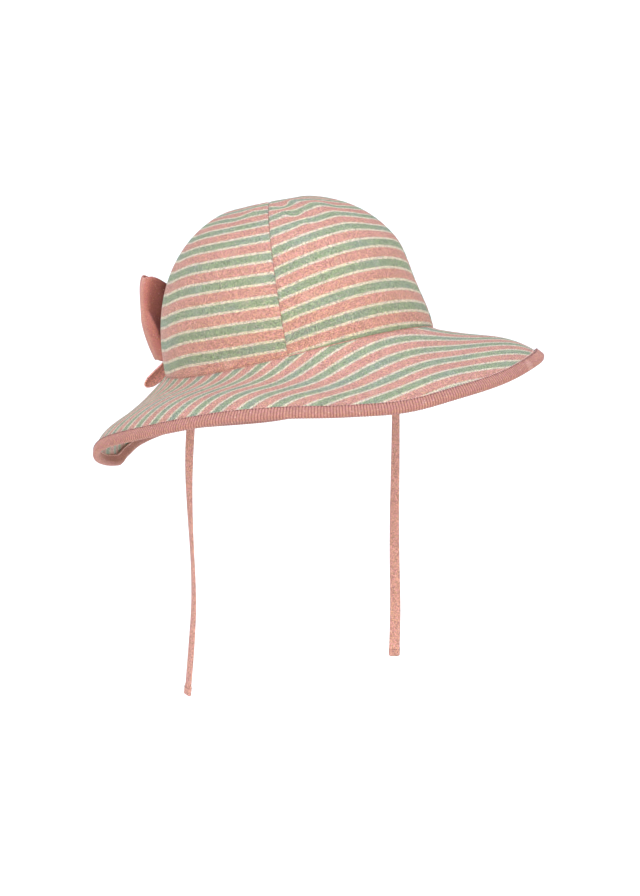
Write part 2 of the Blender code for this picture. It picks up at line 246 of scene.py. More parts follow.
@dataclass(frozen=True)
class Knit:
    """The glittery knit that every finish of the hat starts from, with sizes in millimetres."""

    name: str
    ground: Colour
    wale: float = 0.64
    course: float = 0.56
    speckle: float = 0.66
    grain: float = 1.00
    grain_scale: float = 1.85
    cool_yarn: Colour = (1.0, 0.90, 1.08, 1.0)
    warm_yarn: Colour = (1.0, 1.10, 0.86, 1.0)
    glint_share: float = 0.05
    # the glittering loops' pale colour, which the spots of painted sheen also take
    glint: Colour = (0.85, 0.62, 0.52, 1.0)
    glint_cover: float = 0.3
    glint_gloss: float = 0.2
    # painted sheen: the scale of its soft pale spots and how far they pale the colour
    shimmer_scale: float = 0.055
    shimmer_cover: float = 0.14
    cloud_scale: float = 0.09
    cloud_depth: float = 0.10
    roughness: float = 0.62
    specular: float = 0.22
    relief: float = 0.16
    relief_strength: float = 0.55
    sheen: float = 0.04

    def material(self) -> bpy.types.Material:
        """Build the finish as a material of the same name.

        Returns:
            The material.
        """
        material, kit, shader = new_material(self.name)
        cloth = kit.field("ShaderNodeUVMap", {"uv_map": CLOTH_MAP}, output="UV")
        split = kit.node("ShaderNodeSeparateXYZ", None, {"Vector": cloth})
        along, across = (Field(kit, split.outputs[axis]) for axis in ("X", "Y"))
        wale = (along / self.wale).floor()
        half = (wale * 0.5).past_whole()
        course = (across / self.course + half).floor()
        at = ClothPlace(cloth, along, across, (course - half + 0.5) * self.course)
        shade, spark, hue = self.chances(kit, wale, course)
        glint = kit.rise(spark, 1.0 - self.glint_share, 1.0 - 0.4 * self.glint_share)
        ridge = 1.0 - kit.math("POWER", (along / self.wale).past_whole() * 2.0 - 1.0, 2.0)
        bead = 1.0 - kit.math("POWER", (across / self.course + half).past_whole() * 2.0 - 1.0, 2.0)
        height = ridge * 0.5 + bead * 0.35 + shade * 0.35
        looks = {
            "Base Color": self.glittered(kit, at, shade, hue, glint),
            "Metallic": glint * self.glint_cover,
            "Roughness": self.roughness - glint * self.glint_gloss,
            "Normal": kit.bump(height, self.relief_strength, self.relief * MM),
            "Specular IOR Level": self.specular,
            "Sheen Weight": self.sheen,
            "Sheen Roughness": 0.5,
            "Sheen Tint": (1.0, 0.9, 0.86, 1.0),
        }
        kit.dress(shader, looks)
        return material

    @staticmethod
    def chances(kit: NodeKit, wale: Field, course: Field) -> list[Field]:
        """Three even chances for each knitted loop.

        Args:
            kit: where the nodes go.
            wale: the number of the loop's column.
            course: the number of its row.

        Returns:
            Three fields from 0 to 1.
        """
        loop = kit.field("ShaderNodeCombineXYZ", None, {"X": wale, "Y": course})
        chance = kit.field("ShaderNodeTexWhiteNoise", {"noise_dimensions": "2D"}, {"Vector": loop}, "Color")
        pick = kit.node("ShaderNodeSeparateColor", None, {"Color": chance})
        return [Field(kit, pick.outputs[name]) for name in ("Red", "Green", "Blue")]

    def glittered(self, kit: NodeKit, at: ClothPlace, shade: Field, hue: Field, glint: Field) -> Field:
        """The yarn's colour with its speckle, its two tints, its glitter and soft spots of painted sheen.

        Args:
            kit: where the nodes go.
            at: the place on the cloth.
            shade: each loop's chance to be dark or pale.
            hue: each loop's chance to be cool or warm.
            glint: 1 on a loop that glitters.

        Returns:
            A colour.
        """
        fibre = kit.noise(at.place, self.grain_scale)
        tone = (shade - 0.5) * self.speckle + (fibre - 0.5) * (2.0 * self.grain) + 1.0
        tint = kit.blend(hue, self.cool_yarn, self.warm_yarn)
        both = {"Vector": self.colour(kit, at), "Vector_001": tint}
        tinted = kit.field("ShaderNodeVectorMath", {"operation": "MULTIPLY"}, both)
        # soft pale spots of painted sheen, mixed towards the glint colour
        painted_sheen = kit.rise(kit.noise(at.place, self.shimmer_scale, 1.0), 0.64, 0.78)
        cover = glint * self.glint_cover + painted_sheen * self.shimmer_cover
        return kit.blend(cover, kit.scaled(tinted, tone), self.glint)

    def colour(self, kit: NodeKit, at: ClothPlace) -> Field:
        """The yarn's colour before speckle and glitter: here one colour with slow clouds."""
        return kit.clouded(self.ground, kit.noise(at.place, self.cloud_scale), self.cloud_depth)


@dataclass(frozen=True)
class StripedKnit(Knit):
    """The striped cloth: broad pink, and green between two thin cream stripes."""

    green: Colour = (0.238, 0.272, 0.172, 1.0)
    green_shadow: Colour = (0.233, 0.268, 0.196, 1.0)
    cream: Colour = (0.545, 0.458, 0.350, 1.0)
    repeat: float = 13.1
    green_width: float = 4.4
    cream_width: float = 1.5
    edge_softness: float = 0.2
    wander: float = 0.5
    fray: float = 1.1

    def colour(self, kit: NodeKit, at: ClothPlace) -> Field:
        """The stripes' colours, which change by whole knitted loops.

        Args:
            kit: where the nodes go.
            at: the place on the cloth.

        Returns:
            A colour.
        """
        slow, fast = (kit.noise(at.place, scale) - 0.5 for scale in (0.05, 0.9))
        beat = ((at.stepped + (slow * self.wander + fast * self.fray)) / self.repeat + 0.5).past_whole() - 0.5
        off_green = abs(beat) * self.repeat
        edges = (0.5 * self.green_width, 0.5 * self.green_width + self.cream_width)
        soft = self.edge_softness
        past_green, past_cream = (kit.rise(off_green, edge - soft, edge + soft) for edge in edges)
        patches = kit.rise(kit.noise(at.place, 0.035), 0.42, 0.62)
        green = kit.blend(patches, self.green, self.green_shadow)
        striped = kit.blend(past_cream, kit.blend(past_green, green, self.cream), self.ground)
        return kit.clouded(striped, kit.noise(at.place, 0.11), 0.07)


@dataclass(frozen=True)
class RibbedKnit(Knit):
    """The binding's knit, whose ribs run across it, with painted shade between them."""

    valley: Colour = (0.22, 0.080, 0.065, 1.0)
    valley_cover: float = 0.85

    def colour(self, kit: NodeKit, at: ClothPlace) -> Field:
        """The yarn's colour with lines of painted shade between the ribs.

        Args:
            kit: where the nodes go.
            at: the place on the cloth.

        Returns:
            A colour.
        """
        turn = (at.along + at.across * RIB_SLANT) * (2.0 * math.pi / RIB_PITCH)
        # the valleys between the ribs, where shade is painted
        low = kit.rise(turn.sine() * -1.0, 0.1, 1.0)
        ribbed = kit.blend(low * self.valley_cover, self.ground, self.valley)
        return kit.clouded(ribbed, kit.noise(at.place, 0.08), 0.08)


@dataclass(frozen=True)
class LoopKnitPaintedShadeAndHighlight(Knit):
    """The bow loops' knit, with painted shade against the crown and by the knot, and a painted highlight on
    the fold.
    """

    half_run: float = 52.8
    # the colour of the painted shade on the loop's crown side and, on its outer side, near the knot
    gathers: Colour = (0.075, 0.014, 0.010, 1.0)
    # a paler colour painted along the loop's fold as a highlight
    fold: Colour = (0.62, 0.34, 0.28, 1.0)

    def colour(self, kit: NodeKit, at: ClothPlace) -> Field:
        """The yarn's colour by how far along the loop's run it is from the fold, with painted shade and a
        painted highlight.

        Args:
            kit: where the nodes go.
            at: the place on the cloth.

        Returns:
            A colour.
        """
        from_fold = (self.half_run - at.along) / self.half_run
        # painted shade on the loop's crown side, where the crown shades it
        inward = kit.rise(from_fold, 0.16, 0.50) * 0.92
        # painted shade on the loop's outer side near the knot
        outward = kit.rise(from_fold * -1.0, 0.62, 1.0) * 0.5
        # a painted highlight along the fold
        pale = 1.0 - kit.rise(abs(from_fold), 0.01, 0.10)
        with_painted_shade = kit.blend(inward + outward, self.ground, self.gathers)
        folded = kit.blend(pale * 0.5, with_painted_shade, self.fold)
        return kit.clouded(folded, kit.noise(at.place, self.cloud_scale), self.cloud_depth)


@dataclass(frozen=True)
class Thread:
    """A sewing thread: one colour, with a soft twist along it."""

    name: str
    ground: Colour
    roughness: float = 0.5
    twist_scale: float = 2600.0

    def material(self) -> bpy.types.Material:
        """Build the thread as a material of the same name.

        Returns:
            The material.
        """
        material, kit, shader = new_material(self.name)
        tone = kit.noise(kit.object_place(), self.twist_scale)
        looks = {
            "Base Color": kit.clouded(self.ground, tone, 0.25),
            "Normal": kit.bump(tone, 0.3, 0.1 * MM),
            "Sheen Weight": 0.2,
            "Roughness": self.roughness,
        }
        kit.dress(shader, looks)
        return material


@dataclass(frozen=True)
class StudioPaper:
    """The pale floor under the hat."""

    name: str = "studio_paper"
    ground: Colour = (0.95, 0.94, 0.88, 1.0)

    def material(self) -> bpy.types.Material:
        """Build the floor's material.

        Returns:
            The material.
        """
        material, kit, shader = new_material(self.name)
        paper = kit.clouded(self.ground, kit.noise(kit.object_place(), 40.0), 0.01)
        kit.dress(shader, {"Base Color": paper, "Roughness": 0.9})
        return material


def unit(vectors: np.ndarray) -> np.ndarray:
    """Vectors along the last axis, each made one long."""
    return vectors / np.maximum(np.linalg.norm(vectors, axis=-1, keepdims=True), 1e-12)


def round_azimuths(count: int) -> np.ndarray:
    """Even azimuths once round the hat, of which the last closes the ring."""
    return 180.0 - 360.0 * np.arange(count + 1) / count


def off_azimuth(azimuth: np.ndarray, middle: float) -> np.ndarray:
    """Degrees past an azimuth, from -180 to 180."""
    return (azimuth - middle + 180.0) % 360.0 - 180.0


def run_length(points: np.ndarray) -> np.ndarray:
    """How far each point lies along its line, for one line or for each column of a grid."""
    steps = np.linalg.norm(np.diff(points, axis=0), axis=-1)
    return np.concatenate([np.zeros_like(steps[:1]), np.cumsum(steps, axis=0)])


def cloth_grid(along: np.ndarray, across: np.ndarray) -> np.ndarray:
    """Places on the cloth for a grid, from the places along and across it."""
    return np.stack(np.broadcast_arrays(along, across), -1)


def rounded(values: np.ndarray, power: float) -> np.ndarray:
    """Values from -1 to 1 raised to a power, with their signs kept."""
    return np.sign(values) * np.abs(values) ** power


def smooth_way(
    before: np.ndarray,
    start: np.ndarray,
    end: np.ndarray,
    after: np.ndarray,
    share: np.ndarray,
) -> np.ndarray:
    """A smooth way between the middle two of four even values.

    Args:
        before: the value before the start.
        start: the value where the way starts.
        end: the value where it ends.
        after: the value after the end.
        share: the share of the way, from 0 to 1.

    Returns:
        The values at those shares.
    """
    bend = 2 * before - 5 * start + 4 * end - after
    swing = 3 * start - before - 3 * end + after
    return 0.5 * (2 * start + (end - before) * share + bend * share**2 + swing * share**3)


def smooth_line(points: Sequence[Sequence[float]], steps: int) -> np.ndarray:
    """A smooth curve through points.

    Args:
        points: the points, of any number of coordinates.
        steps: how many stretches lie between two of them.

    Returns:
        The points along the curve, the given ones among them.
    """
    given = np.array(points, float)
    ends = np.vstack([given[0] * 2 - given[1], given, given[-1] * 2 - given[-2]])
    share = (np.arange(steps) / steps)[None, :, None]
    around = (ends[step : len(given) - 1 + step][:, None] for step in range(4))
    curve = smooth_way(*around, share)
    return np.vstack([curve.reshape(-1, given.shape[1]), given[-1:]])


class BrimSection(NamedTuple):
    """The brim's slope in degrees at one azimuth, from the crown outwards by quarters."""

    azimuth: float
    at_crown: float
    inner: float
    in_middle: float
    outer: float
    at_edge: float


BRIM_SECTIONS = (
    BrimSection(-180, 42, 32, 28, 38, 60),
    BrimSection(-150, 46, 38, 34, 42, 60),
    BrimSection(-115, 42, 30, 24, 32, 54),
    BrimSection(-75, 32, 25, 22, 35, 54),
    BrimSection(-51, 22, 17, 16, 30, 48),
    BrimSection(-35, 32, 23, 18, 27, 48),
    BrimSection(-15, 42, 34, 26, 30, 52),
    BrimSection(0, 45, 37, 30, 32, 56),
    BrimSection(15, 46, 41, 33, 30, 58),
    BrimSection(30, 45, 39, 26, 22, 54),
    BrimSection(45, 41, 29, 14, 20, 52),
    BrimSection(60, 37, 17, 8, 25, 51),
    BrimSection(80, 34, 11, 13, 28, 52),
    BrimSection(100, 36, 17, 20, 29, 50),
    BrimSection(120, 42, 32, 24, 40, 110),
    BrimSection(138, 40, 36, 35, 57, 120),
    BrimSection(152, 38, 36, 34, 49, 110),
    BrimSection(165, 40, 34, 30, 39, 86),
)


class CrownDent(NamedTuple):
    """A soft dent near the apex: its place, and its depth and reach as shares of the height."""

    azimuth: float
    height: float
    depth: float
    reach: float


CROWN_DENTS = (
    CrownDent(38, 0.93, 0.022, 0.13),
    CrownDent(8, 0.90, 0.016, 0.12),
    CrownDent(95, 0.86, 0.016, 0.16),
    CrownDent(-70, 0.88, 0.018, 0.15),
    CrownDent(-45, 0.72, 0.012, 0.30),
    CrownDent(165, 0.84, 0.018, 0.16),
    CrownDent(-130, 0.90, 0.016, 0.14),
)


@dataclass(frozen=True)
class HatForm:
    """The surfaces that crown, brim and binding share, with the part's own sizes."""

    worn_pitch: float = 16.0
    opening_length: float = 0.1660
    opening_width: float = 0.1520
    crown_height: float = 0.0895
    crown_wall: float = 0.0018
    crown_fullness: float = 2.33
    draw_azimuth: float = -45.0
    draw_depth: float = 0.0030
    draw_reach: float = 0.42
    foot_saddle: float = 0.0030
    seam_azimuth: float = 45.0
    seam_dip: float = 0.0011
    seam_dip_reach: float = 0.0065
    sewn_gap: float = 0.0003
    brim_width: float = 0.0665
    brim_wall: float = 0.0014
    brim_tuck: float = 0.0005
    binding_width: float = 0.0048
    binding_wall: float = 0.0010
    slope_steps: int = 96

    @property
    def sheet_width(self) -> float:
        """The width of the brim's own sheet, which ends inside the binding."""
        return self.brim_width - self.binding_wall - self.sewn_gap

    @property
    def worn_turn(self) -> np.ndarray:
        """The rotation that leans the hat back on the head."""
        return np.array(Matrix.Rotation(math.radians(-self.worn_pitch), 3, "X"))

    def worn(self, points: np.ndarray) -> np.ndarray:
        """Points of the hat's frame in the part's frame."""
        return points @ self.worn_turn.T

    def crown(self, azimuth: np.ndarray, height: np.ndarray) -> np.ndarray:
        """Points on the outside of the crown.

        Args:
            azimuth: degrees, in any shape.
            height: shares of the climb to the apex, in the same shape.

        Returns:
            Points in the hat's frame, with one more axis.
        """
        turn, climb = np.radians(azimuth), np.radians(90.0 * height)
        across, up = np.maximum(np.cos(climb), 0.0), np.sin(climb)
        fullness = self.crown_fullness
        swell = (across**fullness + up**fullness) ** (-1.0 / fullness)
        reach = across * swell
        x = -0.5 * self.opening_width * np.sin(turn) * reach
        y = -0.5 * self.opening_length * np.cos(turn) * reach
        radius = np.hypot(x, y)
        nearest = 90.0 * np.round((azimuth - self.seam_azimuth) / 90.0) + self.seam_azimuth
        off_seam = radius * np.radians(azimuth - nearest)
        dip = self.seam_dip * np.exp(-((off_seam / self.seam_dip_reach) ** 2)) * across
        facing = np.maximum(np.cos(np.radians(azimuth - self.draw_azimuth)), 0.0)
        drawn = np.sin(math.pi * np.minimum(height / self.draw_reach, 1.0)) ** 2
        dip = dip + self.draw_depth * facing**2 * drawn
        sink = np.zeros_like(radius)
        for dent in CROWN_DENTS:
            beside = np.radians(off_azimuth(azimuth, dent.azimuth)) * radius
            above = math.radians(90.0) * (height - dent.height) * self.crown_height
            far = np.hypot(beside, above) / (dent.reach * self.crown_height)
            sink += dent.depth * self.crown_height * np.exp(-(far**2))
        scale = 1.0 - dip / np.maximum(radius, self.seam_dip_reach)
        saddle = self.foot_saddle * np.cos(2.0 * turn) * across**2
        return np.stack([x * scale, y * scale, self.crown_height * up * swell + saddle - sink], -1)

    def foot(self, azimuth: np.ndarray, inset: float) -> np.ndarray:
        """Points round the crown's foot, so far inside its outer face."""
        return self.crown(azimuth, 0.0 * azimuth) - self.outward(azimuth) * inset

    def outward(self, azimuth: np.ndarray) -> np.ndarray:
        """The level direction square to the crown's foot.

        Args:
            azimuth: degrees, in any shape.

        Returns:
            Directions one long, with one more axis.
        """
        turn = np.radians(azimuth)
        level = [-np.sin(turn) / self.opening_width, -np.cos(turn) / self.opening_length, 0.0 * turn]
        direction = np.stack(level, -1)
        return direction / np.linalg.norm(direction, axis=-1, keepdims=True)

    def brim_slopes(self, azimuth: np.ndarray) -> np.ndarray:
        """The brim's slopes, smoothly between the rows of its table.

        Args:
            azimuth: degrees, one for each row of the result.

        Returns:
            Slopes in degrees, a column for each quarter of the brim's width.
        """
        table = np.array(BRIM_SECTIONS, float)
        table = np.vstack([table[-2:], table, table[:2]])
        table[:2, 0] -= 360.0
        table[-2:, 0] += 360.0
        angle = off_azimuth(azimuth, 0.0)
        at = np.clip(np.searchsorted(table[:, 0], angle, "right") - 1, 1, len(table) - 3)
        before, start, end, after = (table[at + step] for step in (-1, 0, 1, 2))
        span = (end - start)[:, :1]
        share = (angle[:, None] - start[:, :1]) / span
        rise_start = (end - before)[:, 1:] / (end - before)[:, :1] * span
        rise_end = (after - start)[:, 1:] / (after - start)[:, :1] * span
        square, cube = share**2, share**3
        return (
            start[:, 1:] * (2 * cube - 3 * square + 1)
            + end[:, 1:] * (3 * square - 2 * cube)
            + rise_start * (cube - 2 * square + share)
            + rise_end * (cube - square)
        )

    def brim_run(self, azimuth: np.ndarray) -> tuple[np.ndarray, np.ndarray, np.ndarray]:
        """How the brim runs outwards, at even steps of its width.

        Args:
            azimuth: degrees, one for each row of the results.

        Returns:
            Its reach, its fall and its slope in radians.
        """
        quarters = self.brim_slopes(azimuth)
        first = quarters[:, :1] * 2 - quarters[:, 1:2]
        last = quarters[:, -1:] * 2 - quarters[:, -2:-1]
        ends = np.hstack([first, quarters, last])
        share = np.linspace(0.0, 1.0, self.slope_steps + 1) * 4.0
        at = np.minimum(share.astype(int), 3)
        around = (ends[:, at + step] for step in range(4))
        slope = np.radians(smooth_way(*around, share - at))
        step = self.sheet_width / self.slope_steps
        middle = 0.5 * (slope[:, 1:] + slope[:, :-1])
        zero = np.zeros((len(azimuth), 1))
        reach, fall = (np.hstack([zero, np.cumsum(part(middle), axis=1) * step]) for part in (np.cos, np.sin))
        return reach, fall, slope

    def brim(self, azimuth: np.ndarray, along: np.ndarray, lift: np.ndarray) -> np.ndarray:
        """Points of the brim's cloth.

        Args:
            azimuth: degrees, one for each column.
            along: distance along the cloth from the crown's foot, one for each row.
            lift: distance off the middle of the cloth, one for each row.

        Returns:
            Points in the hat's frame, as rows by columns by 3.
        """
        inside = np.minimum(along, self.sheet_width)
        place = inside / self.sheet_width * self.slope_steps
        at = np.minimum(place.astype(int), self.slope_steps - 1)
        t = place - at
        r, f, s = (line[:, at] * (1.0 - t) + line[:, at + 1] * t for line in self.brim_run(azimuth))
        past = along - inside
        r = r + past * np.cos(s) + lift * np.sin(s)
        f = f + past * np.sin(s) - lift * np.cos(s)
        start = self.sewn_gap + 0.5 * self.brim_wall
        down = np.array([0.0, 0.0, 1.0])
        foot, out = self.foot(azimuth, self.brim_tuck), self.outward(azimuth)
        points = foot[:, None] + out[:, None] * r[..., None] - down * (f + start)[..., None]
        return points.transpose(1, 0, 2)


def linked(name: str, data: bpy.types.ID) -> bpy.types.Object:
    """Make an object at the origin and put it in the scene.

    Args:
        name: the object's name.
        data: its mesh, lamp or camera.

    Returns:
        The new object.
    """
    made = bpy.data.objects.new(name, data)
    bpy.context.scene.collection.objects.link(made)
    return made


def grid_piece(
    name: str,
    points: np.ndarray,
    cloth: np.ndarray,
    *finishes: bpy.types.Material,
    closed: bool = False,
) -> bpy.types.Object:
    """A smooth mesh of quads from a grid of points.

    Args:
        name: the object's name.
        points: rows by columns by 3; columns then rows turn outwards by the right hand.
        cloth: the place on the cloth in millimetres, with one column more where closed.
        finishes: its materials, of which the first covers it.
        closed: whether the last column joins the first.

    Returns:
        The new object, at the origin.
    """
    rows, columns = points.shape[:2]
    spans = columns if closed else columns - 1
    r, c = np.meshgrid(np.arange(rows - 1), np.arange(spans), indexing="ij")
    corners = ((0, 0), (0, 1), (1, 1), (1, 0))
    quads = np.stack([(r + dr) * columns + (c + dc) % columns for dr, dc in corners], -1)
    uv = np.stack([cloth[r + dr, c + dc] for dr, dc in corners], 2)
    mesh = bpy.data.meshes.new(name)
    mesh.vertices.add(rows * columns)
    mesh.vertices.foreach_set("co", points.astype(np.float32).ravel())
    mesh.loops.add(quads.size)
    mesh.loops.foreach_set("vertex_index", quads.astype(np.int32).ravel())
    mesh.polygons.add(quads.size // 4)
    mesh.polygons.foreach_set("loop_start", np.arange(0, quads.size, 4, dtype=np.int32))
    mesh.uv_layers.new(name=CLOTH_MAP)
    mesh.uv_layers[CLOTH_MAP].uv.foreach_set("vector", uv.astype(np.float32).ravel())
    mesh.update(calc_edges=True)
    mesh.shade_smooth()
    for finish in finishes:
        mesh.materials.append(finish)
    return linked(name, mesh)


def grid_normals(points: np.ndarray) -> np.ndarray:
    """Outward normals of a grid of points, rows by columns by 3."""
    return unit(np.cross(np.gradient(points, axis=1), np.gradient(points, axis=0)))


def merge_doubles(piece: bpy.types.Object, distance: float = 1e-7) -> None:
    """Join the points of a piece that lie in one place.

    Args:
        piece: the mesh object.
        distance: how far apart such points may be.
    """
    form = bmesh.new()
    form.from_mesh(piece.data)
    bmesh.ops.remove_doubles(form, verts=form.verts, dist=distance)
    form.to_mesh(piece.data)
    form.free()


def close_ends(piece: bpy.types.Object) -> None:
    """Close the open ends of a tube and turn its faces outwards.

    Args:
        piece: the mesh object.
    """
    form = bmesh.new()
    form.from_mesh(piece.data)
    bmesh.ops.holes_fill(form, edges=[edge for edge in form.edges if edge.is_boundary])
    bmesh.ops.recalc_face_normals(form, faces=form.faces)
    form.to_mesh(piece.data)
    form.free()


def add_wall(piece: bpy.types.Object, thickness: float, offset: float = -1.0, inside: int = 0) -> None:
    """Give a surface its thickness.

    Args:
        piece: the surface.
        thickness: the wall.
        offset: -1 grows it behind the surface, and 0 both ways.
        inside: how many material slots further the inner face's material is.
    """
    wall = piece.modifiers.new("wall", "SOLIDIFY")
    wall.thickness = thickness
    wall.offset = offset
    wall.use_even_offset = False
    wall.material_offset = inside


def settle(piece: bpy.types.Object, slot: Slot, *nodes: str) -> None:
    """Let a finished piece ride on the hat.

    Args:
        piece: the piece.
        slot: the record's slot that its finish goes with; not used.
        nodes: the CAD nodes that it stands for.
    """
    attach(piece, BODY)
    if nodes:
        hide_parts(*nodes)
    LOG.info("%s: %d faces", piece.name, len(piece.data.polygons))


def plain_copy(piece: bpy.types.Object) -> bpy.types.Object:
    """Turn a piece with Geometry Nodes into a plain mesh.

    Args:
        piece: the object with the modifier, which is taken away.

    Returns:
        The plain object, of the same name.
    """
    bpy.context.view_layer.update()
    graph = bpy.context.evaluated_depsgraph_get()
    mesh = bpy.data.meshes.new_from_object(piece.evaluated_get(graph), depsgraph=graph)
    name = piece.name
    bpy.data.objects.remove(piece, do_unlink=True)
    mesh.name = name
    return linked(name, mesh)


class GeometryTree:
    """A Geometry Nodes tree with named inputs, and its use on one object."""

    def __init__(self, name: str) -> None:
        """Make the empty tree with its geometry input and output."""
        self.name = name
        self.tree = bpy.data.node_groups.new(name, "GeometryNodeTree")
        for way in ("INPUT", "OUTPUT"):
            self.tree.interface.new_socket("Geometry", in_out=way, socket_type="NodeSocketGeometry")
        self.kit = NodeKit(self.tree)
        self.entry = self.tree.nodes.new("NodeGroupInput")
        self.exit = self.tree.nodes.new("NodeGroupOutput")
        self.identifiers: dict[str, str] = {}

    def add_input(self, name: str, kind: str = "NodeSocketFloat") -> Field:
        """Add one named input.

        Args:
            name: its name.
            kind: its socket's type.

        Returns:
            The input as a field.
        """
        socket = self.tree.interface.new_socket(name, in_out="INPUT", socket_type=kind)
        self.identifiers[name] = socket.identifier
        output = next(s for s in self.entry.outputs if s.identifier == socket.identifier)
        return Field(self.kit, output)

    def attribute(self, name: str, kind: str = "FLOAT") -> Field:
        """Read a named attribute of the geometry."""
        return self.kit.field("GeometryNodeInputNamedAttribute", {"data_type": kind}, {"Name": name})

    def close(self, geometry: Field, material: Field) -> None:
        """Realize what the tree makes, give it its material and send it out.

        Args:
            geometry: what the tree makes.
            material: the input that names its material.
        """
        real = self.kit.field("GeometryNodeRealizeInstances", None, {"Geometry": geometry})
        smooth = self.kit.field("GeometryNodeSetShadeSmooth", None, {"Geometry": real})
        dressed = self.kit.field("GeometryNodeSetMaterial", None, {"Geometry": smooth, "Material": material})
        self.kit.feed(self.exit.inputs[0], dressed)

    def use_on(self, piece: bpy.types.Object, values: Values) -> bpy.types.Object:
        """Run the tree on a piece and return the plain mesh that it makes.

        Args:
            piece: the object that the tree starts from, which is taken away.
            values: a value for each named input.

        Returns:
            The new piece, under the same name.
        """
        modifier = piece.modifiers.new(self.name, "NODES")
        modifier.node_group = self.tree
        for name, value in values.items():
            modifier[self.identifiers[name]] = value
        return plain_copy(piece)


class StitchTree(GeometryTree):
    """Sewn stitches of one size, at an even pitch along a line that lies on the cloth."""

    def __init__(self) -> None:
        """Build the tree: line, pitch, one padded stitch, its turn and its thread."""
        super().__init__("stitches_along_line")
        kit = self.kit
        names = ("Pitch", "Length", "Breadth", "Height", "Slant")
        pitch, length, breadth, height, slant = (self.add_input(name) for name in names)
        seed = self.add_input("Seed", "NodeSocketInt")
        thread = self.add_input("Thread", "NodeSocketMaterial")
        line = kit.field("GeometryNodeMeshToCurve", None, {"Mesh": self.entry.outputs[0]})
        spaced = kit.field("GeometryNodeResampleCurve", {"mode": "LENGTH"}, {"Curve": line, "Length": pitch})
        axes = {
            "Primary Axis": self.attribute("lift", "FLOAT_VECTOR"),
            "Secondary Axis": kit.field("GeometryNodeInputTangent"),
        }
        settings = {"primary_axis": "Z", "secondary_axis": "X"}
        lying = kit.field("FunctionNodeAxesToRotation", settings, axes)
        bounds = {"Min_001": -0.12, "Max_001": 0.12, "Seed": seed}
        jitter = kit.node("FunctionNodeRandomValue", {"data_type": "FLOAT"}, bounds)
        wobble = Field(kit, next(s for s in jitter.outputs if s.identifier == "Value_001"))
        off_line = {"Axis": (0.0, 0.0, 1.0), "Angle": slant + wobble}
        spin = kit.field("FunctionNodeAxisAngleToRotation", None, off_line)
        both = {"Rotation": lying, "Rotate By": spin}
        turned = kit.field("FunctionNodeRotateRotation", {"rotation_space": "LOCAL"}, both)
        stitch = kit.field("GeometryNodeMeshUVSphere", None, {"Segments": 8, "Rings": 5, "Radius": 0.5})
        sides = {"X": length * (wobble + 1.0), "Y": breadth, "Z": height}
        size = kit.field("ShaderNodeCombineXYZ", None, sides)
        sockets = {"Points": spaced, "Instance": stitch, "Rotation": turned, "Scale": size}
        self.close(kit.field("GeometryNodeInstanceOnPoints", None, sockets), thread)


class RibTree(GeometryTree):
    """Raised ribs across a strip, by its points' places along and across it."""

    def __init__(self) -> None:
        """Build the tree: the strip's points rise and sink along their normals."""
        super().__init__("ribs_across_strip")
        pitch, height, slant = (self.add_input(name) for name in ("Pitch", "Height", "Slant"))
        cover = self.add_input("Cloth", "NodeSocketMaterial")
        along, across, free = (self.attribute(name) for name in ("along", "across", "free"))
        turn = (along + across * slant) / pitch * (2.0 * math.pi)
        rise = turn.sine() * height * 0.5 * free
        offset = self.kit.scaled(self.kit.field("GeometryNodeInputNormal"), rise)
        sockets = {"Geometry": self.entry.outputs[0], "Offset": offset}
        self.close(self.kit.field("GeometryNodeSetPosition", None, sockets), cover)


@dataclass(frozen=True)
class StitchKind:
    """The size of one kind of stitch and how it lies along its line."""

    pitch: float
    length: float
    breadth: float
    height: float
    slant: float = 0.0
    seed: int = 3


class Sewing:
    """Lays rows of stitches on the hat."""

    def __init__(self) -> None:
        """Build the one tree that every row of stitches uses."""
        self.tree = StitchTree()

    def row(
        self,
        name: str,
        points: np.ndarray,
        lifts: np.ndarray,
        kind: StitchKind,
        thread: bpy.types.Material,
        slot: Slot = Slot.PINK,
        closed: bool = False,
    ) -> bpy.types.Object:
        """Sew one row.

        Args:
            name: the row's name.
            points: the line, in the part's frame.
            lifts: the direction off the cloth at each point.
            kind: the stitch.
            thread: its material.
            slot: the record's slot that its colour goes with.
            closed: whether the line joins up.

        Returns:
            The stitches as one plain mesh.
        """
        count = len(points)
        edges = [(i, i + 1) for i in range(count - 1)] + ([(count - 1, 0)] if closed else [])
        mesh = bpy.data.meshes.new(name)
        mesh.from_pydata([tuple(p) for p in points], edges, [])
        lift = mesh.attributes.new("lift", "FLOAT_VECTOR", "POINT")
        lift.data.foreach_set("vector", np.asarray(lifts, np.float32).ravel())
        values = {size.capitalize(): value for size, value in vars(kind).items()}
        sewn = self.tree.use_on(linked(name, mesh), values | {"Thread": thread})
        settle(sewn, slot)
        return sewn


